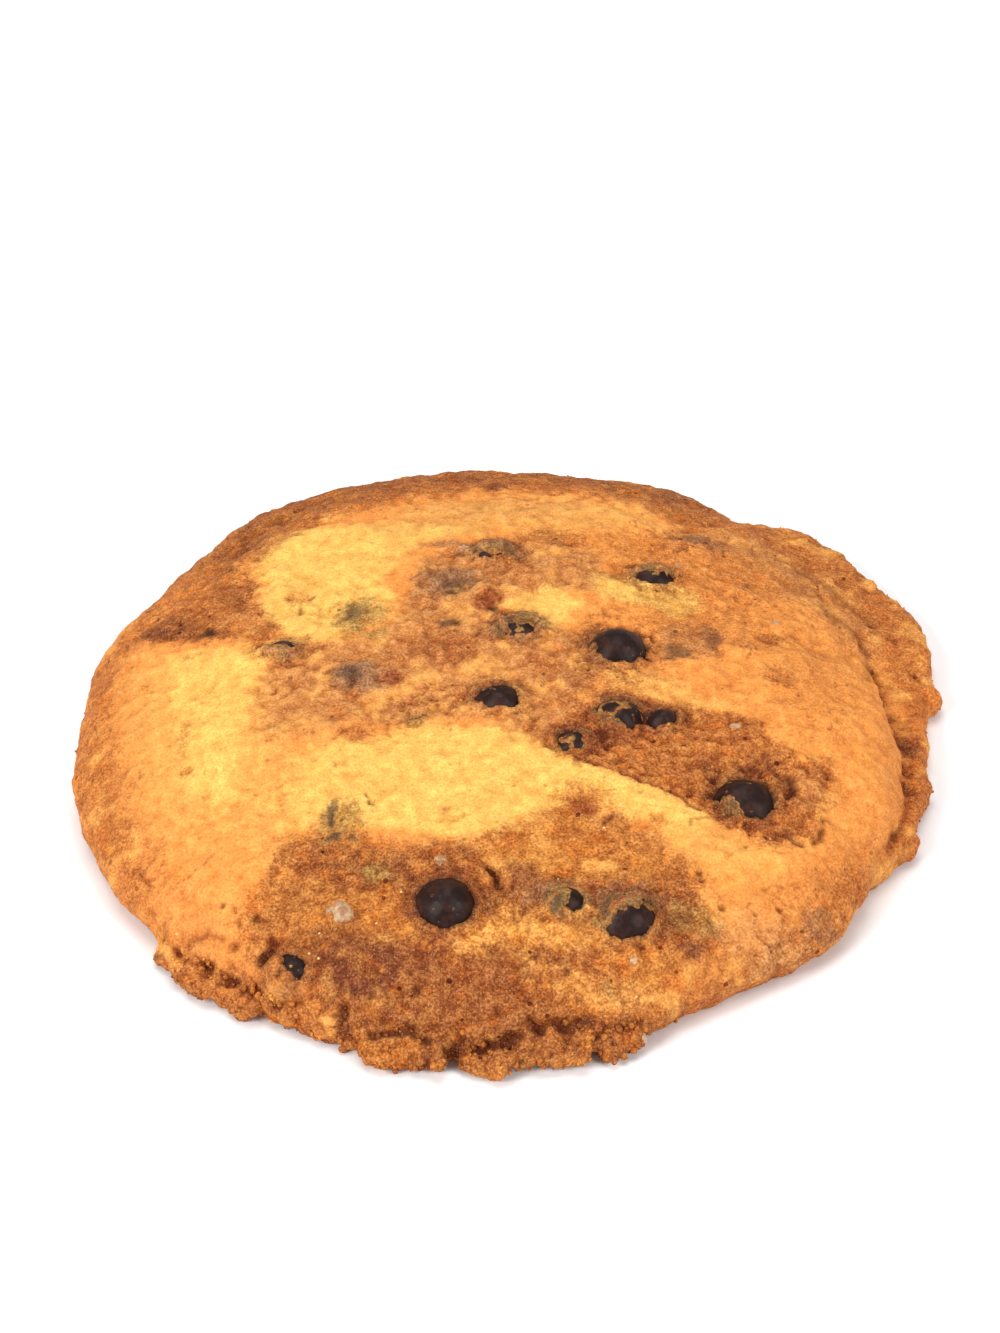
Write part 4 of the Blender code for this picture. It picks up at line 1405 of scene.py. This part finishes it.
    def stain_and_shade_by_chips(self, paint: Paint, places: np.ndarray, fine: np.ndarray, specks: np.ndarray) -> None:
        """Darkens each chip's socket with stain and painted shade, and smears chocolate over its covered
        side.

        Args:
            paint: The tones to change.
            places: The crust's points, in millimetres.
            fine: Fine noise at them.
            specks: Speckle noise at them.
        """
        away = self.distance_to_chips(places)
        blotch = ramp(noise_at(places, wave=1.5, seed=91.0, octaves=2), -0.35, 0.25)
        # Partly a chocolate stain and partly painted shade in each chip's socket.
        paint.lay(Tone.UMBER, ramp(away + 0.9 * fine, self.stain_and_shade_reach, 0.2) * (0.30 + 0.40 * blotch))
        # Painted shade: the crust turns nearly black where it dips under a bare chip, in the gap round it.
        paint.lay(Tone.CHOC, ramp(self.bare, 0.0, 0.35) * 0.85)
        over = ramp(away + 0.25 * fine, 0.66, 0.26)
        for number, chip in enumerate(CHIPS):
            near = in_box(places, *chip.room(1.5))
            covered = 0.25 + 0.75 * chip.cover_at(places[near], number)
            share = np.zeros(len(places))
            share[near] = over[near] * covered * chip.smear
            paint.lay(Tone.OLIVE, share * (0.35 + 0.65 * blotch))
            paint.lay(Tone.SLATE, share * ramp(specks, 0.45, -0.35))

    def distance_to_chips(self, places: np.ndarray) -> np.ndarray:
        """How far each place is from the nearest chip's skin.

        Args:
            places: Rows of x, y, z in millimetres.

        Returns:
            One distance a row, in millimetres.
        """
        skin = np.concatenate([places_of(chip.data) for chip in self.chips])
        tree = KDTree(len(skin))
        for index, place in enumerate(skin):
            tree.insert(place, index)
        tree.balance()
        return np.array([tree.find(place)[2] for place in places])


@dataclass(frozen=True)
class SugarPlace:
    """A coarse grain of sugar: its place, its length in millimetres and its turn."""

    x: float
    y: float
    size: float
    turn: float


@dataclass
class Sugar:
    """The coarse grains of sugar that show on the crust."""

    crust: BVHTree
    grains: tuple[SugarPlace, ...] = (
        SugarPlace(-17.9, -37.1, 1.9, 20), SugarPlace(-7.9, -31.0, 1.1, 55), SugarPlace(12.4, -42.0, 0.8, 10),
        SugarPlace(24.5, -9.2, 1.1, 35), SugarPlace(-6.0, 23.6, 1.2, 70), SugarPlace(-9.2, -30.6, 0.6, 15),
        SugarPlace(-16.2, -23.4, 0.7, 40), SugarPlace(13.3, -46.9, 1.1, 30), SugarPlace(30.6, 12.6, 0.9, 65),
        SugarPlace(19.5, 22.8, 0.9, 5), SugarPlace(-19.6, -36.2, 0.9, 80), SugarPlace(8.6, -30.8, 0.6, 25),
    )
    sunk: float = 0.34
    flat: float = 0.62

    def build(self, material: bpy.types.Material) -> Piece:
        """Makes one piece of all grains.

        Args:
            material: The sugar's material.

        Returns:
            The finished piece.
        """
        model = self.model()
        copies = []
        for place in self.grains:
            hit, normal = surface_at(self.crust, place.x, place.y)
            grain = own_copy(model)
            upright = normal.to_track_quat("Z", "Y").to_matrix().to_4x4()
            turn = Matrix.Rotation(math.radians(place.turn), 4, "Z")
            size = Matrix.Scale(place.size * MM, 4)
            grain.data.transform(Matrix.Translation(hit - normal * self.sunk * MM) @ upright @ turn @ size)
            copies.append(grain)
        bpy.data.objects.remove(model)
        piece = joined(copies, "sugar_grains")
        piece.data.materials.append(material)
        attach(piece, "root")
        return piece

    def model(self) -> Piece:
        """Models one blunt grain, one unit long.

        Returns:
            The model.
        """
        bpy.ops.object.select_all(action="DESELECT")
        bpy.ops.mesh.primitive_cube_add(size=1.0, scale=(1.0, 0.78, self.flat))
        grain = bpy.context.object
        bpy.ops.object.mode_set(mode="EDIT")
        bpy.ops.mesh.select_all(action="SELECT")
        bpy.ops.mesh.subdivide(number_cuts=2, smoothness=0.55)
        bpy.ops.object.mode_set(mode="OBJECT")
        bpy.ops.object.transform_apply(location=True, rotation=True, scale=True)
        for vertex in grain.data.vertices:
            vertex.co *= 1 + 0.30 * noise.noise(vertex.co * 2.6)
        return grain


class Ground(Enum):
    """Stretches of the crust where loose crumb clings."""

    FRONT_FOOT = "front foot"
    FRILL = "frill"
    RIM = "rim"
    CHIPS = "edges of the chips"
    TOP = "top"


@dataclass(frozen=True)
class CrumbSpread:
    """The crumbs of one stretch: their number, their sizes in millimetres and their colour."""

    ground: Ground
    count: int
    smallest: float
    largest: float
    tone: Tone
    lighter: float


@dataclass
class LooseCrumb:
    """Grains of crumb that stand up from the lumps of the foot, the rims and the chips' edges."""

    crust: Piece
    chips: list[Piece]
    seed: int = 17
    spreads: tuple[CrumbSpread, ...] = (
        CrumbSpread(Ground.FRONT_FOOT, 300, 0.35, 0.95, Tone.AMBER, 1.10),
        CrumbSpread(Ground.FRILL, 36, 0.25, 0.50, Tone.SIENNA, 1.10),
        CrumbSpread(Ground.RIM, 50, 0.25, 0.50, Tone.SIENNA, 1.05),
        CrumbSpread(Ground.CHIPS, 150, 0.25, 0.60, Tone.OCHRE, 1.00),
        CrumbSpread(Ground.TOP, 160, 0.22, 0.46, Tone.GOLD, 1.08),
    )

    def build(self, material: bpy.types.Material) -> Piece:
        """Makes one piece of all crumbs.

        Args:
            material: The crumb's material.

        Returns:
            The finished piece.
        """
        draw = random.Random(self.seed)
        places = places_of(self.crust.data)
        normals = normals_of(self.crust.data)
        tones = np.empty(len(places) * 4, np.float32)
        self.crust.data.attributes["tone"].data.foreach_get("color", tones)
        tones = tones.reshape(-1, 4)[:, :3]
        model = self.model()
        copies = []
        for spread in self.spreads:
            for spot in self.spots(spread, places, normals, draw):
                copies.append(self.crumb(model, spread, places[spot], normals[spot], tones[spot], draw))
        bpy.data.objects.remove(model)
        piece = joined(copies, "loose_crumb")
        piece.data.materials.append(material)
        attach(piece, "root")
        return piece

    def model(self) -> Piece:
        """Models one knobbly crumb, one unit across.

        Returns:
            The model.
        """
        bpy.ops.object.select_all(action="DESELECT")
        bpy.ops.mesh.primitive_ico_sphere_add(subdivisions=2, radius=0.5)
        crumb = bpy.context.object
        for vertex in crumb.data.vertices:
            vertex.co *= 1 + 0.38 * noise.noise(vertex.co * 3.4)
        bpy.ops.object.shade_smooth()
        return crumb

    def spots(
        self, spread: CrumbSpread, places: np.ndarray, normals: np.ndarray, draw: random.Random
    ) -> list[int]:
        """Draws the points of the crust that carry a spread's crumbs.

        Args:
            spread: The spread.
            places: The crust's points, in millimetres.
            normals: Their normals.
            draw: The source of chance.

        Returns:
            The numbers of the points.
        """
        bearing = bearing_of(places)
        reach = reach_of(places)
        low = (places[:, 2] > 0.5) & (places[:, 2] < 4.2) & (reach > 44)
        match spread.ground:
            case Ground.FRONT_FOOT:
                open_to = low & (bearing > 224) & (bearing < 288)
            case Ground.FRILL:
                open_to = low & ((bearing > 332) | (bearing < 55)) & (reach > 47)
            case Ground.RIM:
                open_to = low
            case Ground.CHIPS:
                open_to = self.near_chips(places)
            case _:
                open_to = (normals[:, 2] > 0.6) & (places[:, 2] > 3.5)
        chosen = np.nonzero(open_to)[0].tolist()
        return draw.sample(chosen, min(spread.count, len(chosen)))

    def near_chips(self, places: np.ndarray) -> np.ndarray:
        """Finds the points of the crust's top that are beside a chip.

        Args:
            places: The crust's points, in millimetres.

        Returns:
            True for each such point.
        """
        near = np.zeros(len(places), bool)
        for chip in self.chips:
            own = places_of(chip.data)
            middle = own.mean(0)
            radius = (own.max(0) - own.min(0))[:2].max() / 2
            away = np.hypot(places[:, 0] - middle[0], places[:, 1] - middle[1])
            near |= (away > radius * 0.75) & (away < radius + 1.0) & (places[:, 2] > middle[2] + 0.4)
        return near

    def crumb(self, model: Piece, spread: CrumbSpread, place: np.ndarray, normal: np.ndarray,
              tone: np.ndarray, draw: random.Random) -> Piece:
        """One crumb on the crust.

        Args:
            model: The crumb to copy.
            spread: The spread it belongs to.
            place: Where it sits, in millimetres.
            normal: The crust's normal there.
            tone: The crust's colour there.
            draw: The source of its size and turn.

        Returns:
            The copy, with its own mesh and tone.
        """
        size = spread.smallest + (spread.largest - spread.smallest) * draw.random() ** 2
        copy = own_copy(model)
        turn = Euler([draw.uniform(0, math.tau) for _ in range(3)]).to_matrix().to_4x4()
        stretch = Matrix.Diagonal((size * MM, size * MM * draw.uniform(0.6, 1.0), size * MM * 0.75, 1.0))
        at = Vector(place + normal * size * 0.12) * MM
        at.z = max(at.z, size * MM * 0.5)
        copy.data.transform(Matrix.Translation(at) @ turn @ stretch)
        paint = Paint(copy.data, spread.tone)
        own = np.clip(np.array(tone) * spread.lighter, 0, 1)
        paint.colour += (own - paint.colour) * draw.uniform(0.45, 0.95)
        paint.store()
        return copy


@dataclass
class Flecks:
    """Pale flecks of flour and sugar dust that lie on the front of the crust."""

    crust: BVHTree
    places: tuple[Place, ...] = (
        (-20.5, -38.5), (-21.5, -40.5), (-20.5, -41), (-14.5, -38), (-36, -34.5), (-17.5, -23),
        (12.5, -45), (9.5, -26), (27.5, -25), (24, -24.5), (4.5, -33), (-12, -34.5),
    )
    size: float = 0.30
    flat: float = 0.5

    def build(self, material: bpy.types.Material) -> Piece:
        """Makes one piece of all flecks.

        Args:
            material: The crumb's material.

        Returns:
            The finished piece.
        """
        model = self.model()
        copies = []
        for number, (x, y) in enumerate(self.places):
            hit, normal = surface_at(self.crust, x, y)
            fleck = own_copy(model)
            lie = normal.to_track_quat("Z", "Y").to_matrix().to_4x4() @ Matrix.Rotation(number, 4, "Z")
            size = Matrix.Diagonal((self.size * MM, self.size * MM, self.size * self.flat * MM, 1.0))
            fleck.data.transform(Matrix.Translation(hit) @ lie @ size)
            Paint(fleck.data, Tone.CREAM).store()
            copies.append(fleck)
        bpy.data.objects.remove(model)
        piece = joined(copies, "pale_flecks")
        piece.data.materials.append(material)
        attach(piece, "root")
        return piece

    def model(self) -> Piece:
        """Models one ragged fleck, one unit across.

        Returns:
            The model.
        """
        bpy.ops.object.select_all(action="DESELECT")
        bpy.ops.mesh.primitive_ico_sphere_add(subdivisions=2, radius=0.5)
        fleck = bpy.context.object
        for vertex in fleck.data.vertices:
            vertex.co *= 1 + 0.45 * noise.noise(vertex.co * 4.1)
        bpy.ops.object.shade_smooth()
        return fleck


def surface_at(tree: BVHTree, x: float, y: float) -> tuple[Vector, Vector]:
    """The place and normal of the crust's top over a place in the plan.

    Args:
        tree: The crust's faces.
        x: Millimetres to the right.
        y: Millimetres to the back.

    Returns:
        The place in metres and the normal.
    """
    hit, normal, _, _ = tree.ray_cast(Vector((x * MM, y * MM, 0.05)), Vector((0, 0, -1)))
    if hit is None:
        raise ValueError(f"nothing lies under {x}, {y}")
    return hit, normal


def own_copy(model: Piece) -> Piece:
    """Copies a model that repeats.

    Args:
        model: The piece to copy.

    Returns:
        The copy, with its own mesh.
    """
    copy = model.copy()
    copy.data = model.data.copy()
    bpy.context.scene.collection.objects.link(copy)
    return copy


def joined(parts: list[Piece], name: str) -> Piece:
    """Joins parts into one object.

    Args:
        parts: The objects to join.
        name: The name of the result.

    Returns:
        The joined object.
    """
    bpy.ops.object.select_all(action="DESELECT")
    for part in parts:
        part.select_set(True)
    bpy.context.view_layer.objects.active = parts[0]
    bpy.ops.object.join()
    parts[0].name = name
    parts[0].data.name = name
    return parts[0]


@dataclass(frozen=True)
class Softbox:
    """A square studio light aimed at the cookie: where it stands, its side and its power in watts."""

    name: str
    place: tuple[float, float, float]
    side: float
    power: float


@dataclass
class Studio:
    """The white floor, the soft light and the camera."""

    floor_side: float = 6.0
    sky: float = 0.38
    softboxes: tuple[Softbox, ...] = (
        Softbox("left front", (-1.86, -1.44, 1.60), 1.00, 52.0),
        Softbox("right front", (1.74, -1.20, 1.30), 0.90, 26.0),
        Softbox("overhead", (-0.15, 0.45, 2.50), 1.60, 30.0),
    )
    camera_place: tuple[float, float, float] = (-0.00107, -0.26345, 0.22155)
    camera_pitch: float = 38.2435
    camera_yaw: float = 0.136
    focal_pixels: float = 2951.2
    frame_height: int = 1333
    sensor: float = 36.0

    def build(self) -> None:
        """Makes the floor, the lights, the sky and the camera."""
        self.build_floor()
        for softbox in self.softboxes:
            self.build_softbox(softbox)
        self.build_sky()
        self.build_camera()
        bpy.context.scene.view_settings.view_transform = "Standard"
        bpy.context.scene.view_settings.look = "None"

    def build_floor(self) -> None:
        """Lays the floor with rounded corners far outside the view."""
        bpy.ops.object.select_all(action="DESELECT")
        bpy.ops.mesh.primitive_plane_add(size=self.floor_side)
        floor = bpy.context.object
        floor.name = "studio_floor"
        bpy.ops.object.mode_set(mode="EDIT")
        bpy.ops.mesh.bevel(offset=self.floor_side / 4, segments=8, affect="VERTICES")
        bpy.ops.object.mode_set(mode="OBJECT")
        floor.data.materials.append(FloorFinish("white studio floor").material())

    def build_softbox(self, softbox: Softbox) -> None:
        """Hangs one light and turns it to the cookie.

        Args:
            softbox: The light.
        """
        light = bpy.data.lights.new(softbox.name, "AREA")
        light.shape = "SQUARE"
        light.size = softbox.side
        light.energy = softbox.power
        lamp = bpy.data.objects.new(softbox.name, light)
        lamp.location = softbox.place
        lamp.rotation_euler = (-Vector(softbox.place)).to_track_quat("-Z", "Y").to_euler()
        bpy.context.scene.collection.objects.link(lamp)

    def build_sky(self) -> None:
        """Fills the room with even white light."""
        world = bpy.data.worlds.new("white room")
        world.use_nodes = True
        background = world.node_tree.nodes["Background"]
        background.inputs["Color"].default_value = (1.0, 1.0, 1.0, 1.0)
        background.inputs["Strength"].default_value = self.sky
        bpy.context.scene.world = world

    def build_camera(self) -> None:
        """Sets the camera at the photograph's angle and distance."""
        data = bpy.data.cameras.new("camera")
        data.sensor_width = self.sensor
        data.lens = self.sensor * self.focal_pixels / self.frame_height
        data.clip_start = 0.01
        camera = bpy.data.objects.new("camera", data)
        camera.location = self.camera_place
        camera.rotation_euler = Euler(
            (math.radians(90 - self.camera_pitch), 0.0, math.radians(self.camera_yaw))
        )
        bpy.context.scene.collection.objects.link(camera)
        bpy.context.scene.camera = camera


def report(piece: Piece) -> Piece:
    """Logs a piece's name and size.

    Args:
        piece: The finished piece.

    Returns:
        The same piece.
    """
    LOG.info("%s: %d faces, %.1f x %.1f x %.1f mm", piece.name, len(piece.data.polygons),
             *(side / MM for side in piece.dimensions))
    return piece


def main() -> None:
    """Builds the cookie's pieces in order, then the studio."""
    logging.basicConfig(level=logging.INFO, format="%(name)s: %(message)s")
    crumb = BakedCrumb().group()
    chocolate = ChocolateFinish("dark chocolate", crumb).material()
    dough = DoughFinish("baked dough", crumb).material()
    plain = BVHTree.FromObject(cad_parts["dough"], bpy.context.evaluated_depsgraph_get())
    chips = [report(chip.build(chocolate, number)) for number, chip in enumerate(CHIPS)]
    crust = report(Crust(chips, plain).build(dough))
    faces = BVHTree.FromObject(crust, bpy.context.evaluated_depsgraph_get())
    report(Sugar(faces).build(SugarFinish("coarse sugar").material()))
    report(LooseCrumb(crust, chips).build(DoughFinish("loose crumb", crumb, bump=0.4).material()))
    report(Flecks(faces).build(DoughFinish("pale fleck", crumb, bump=0.2).material()))
    Studio().build()


if __name__ == "__main__":
    main()
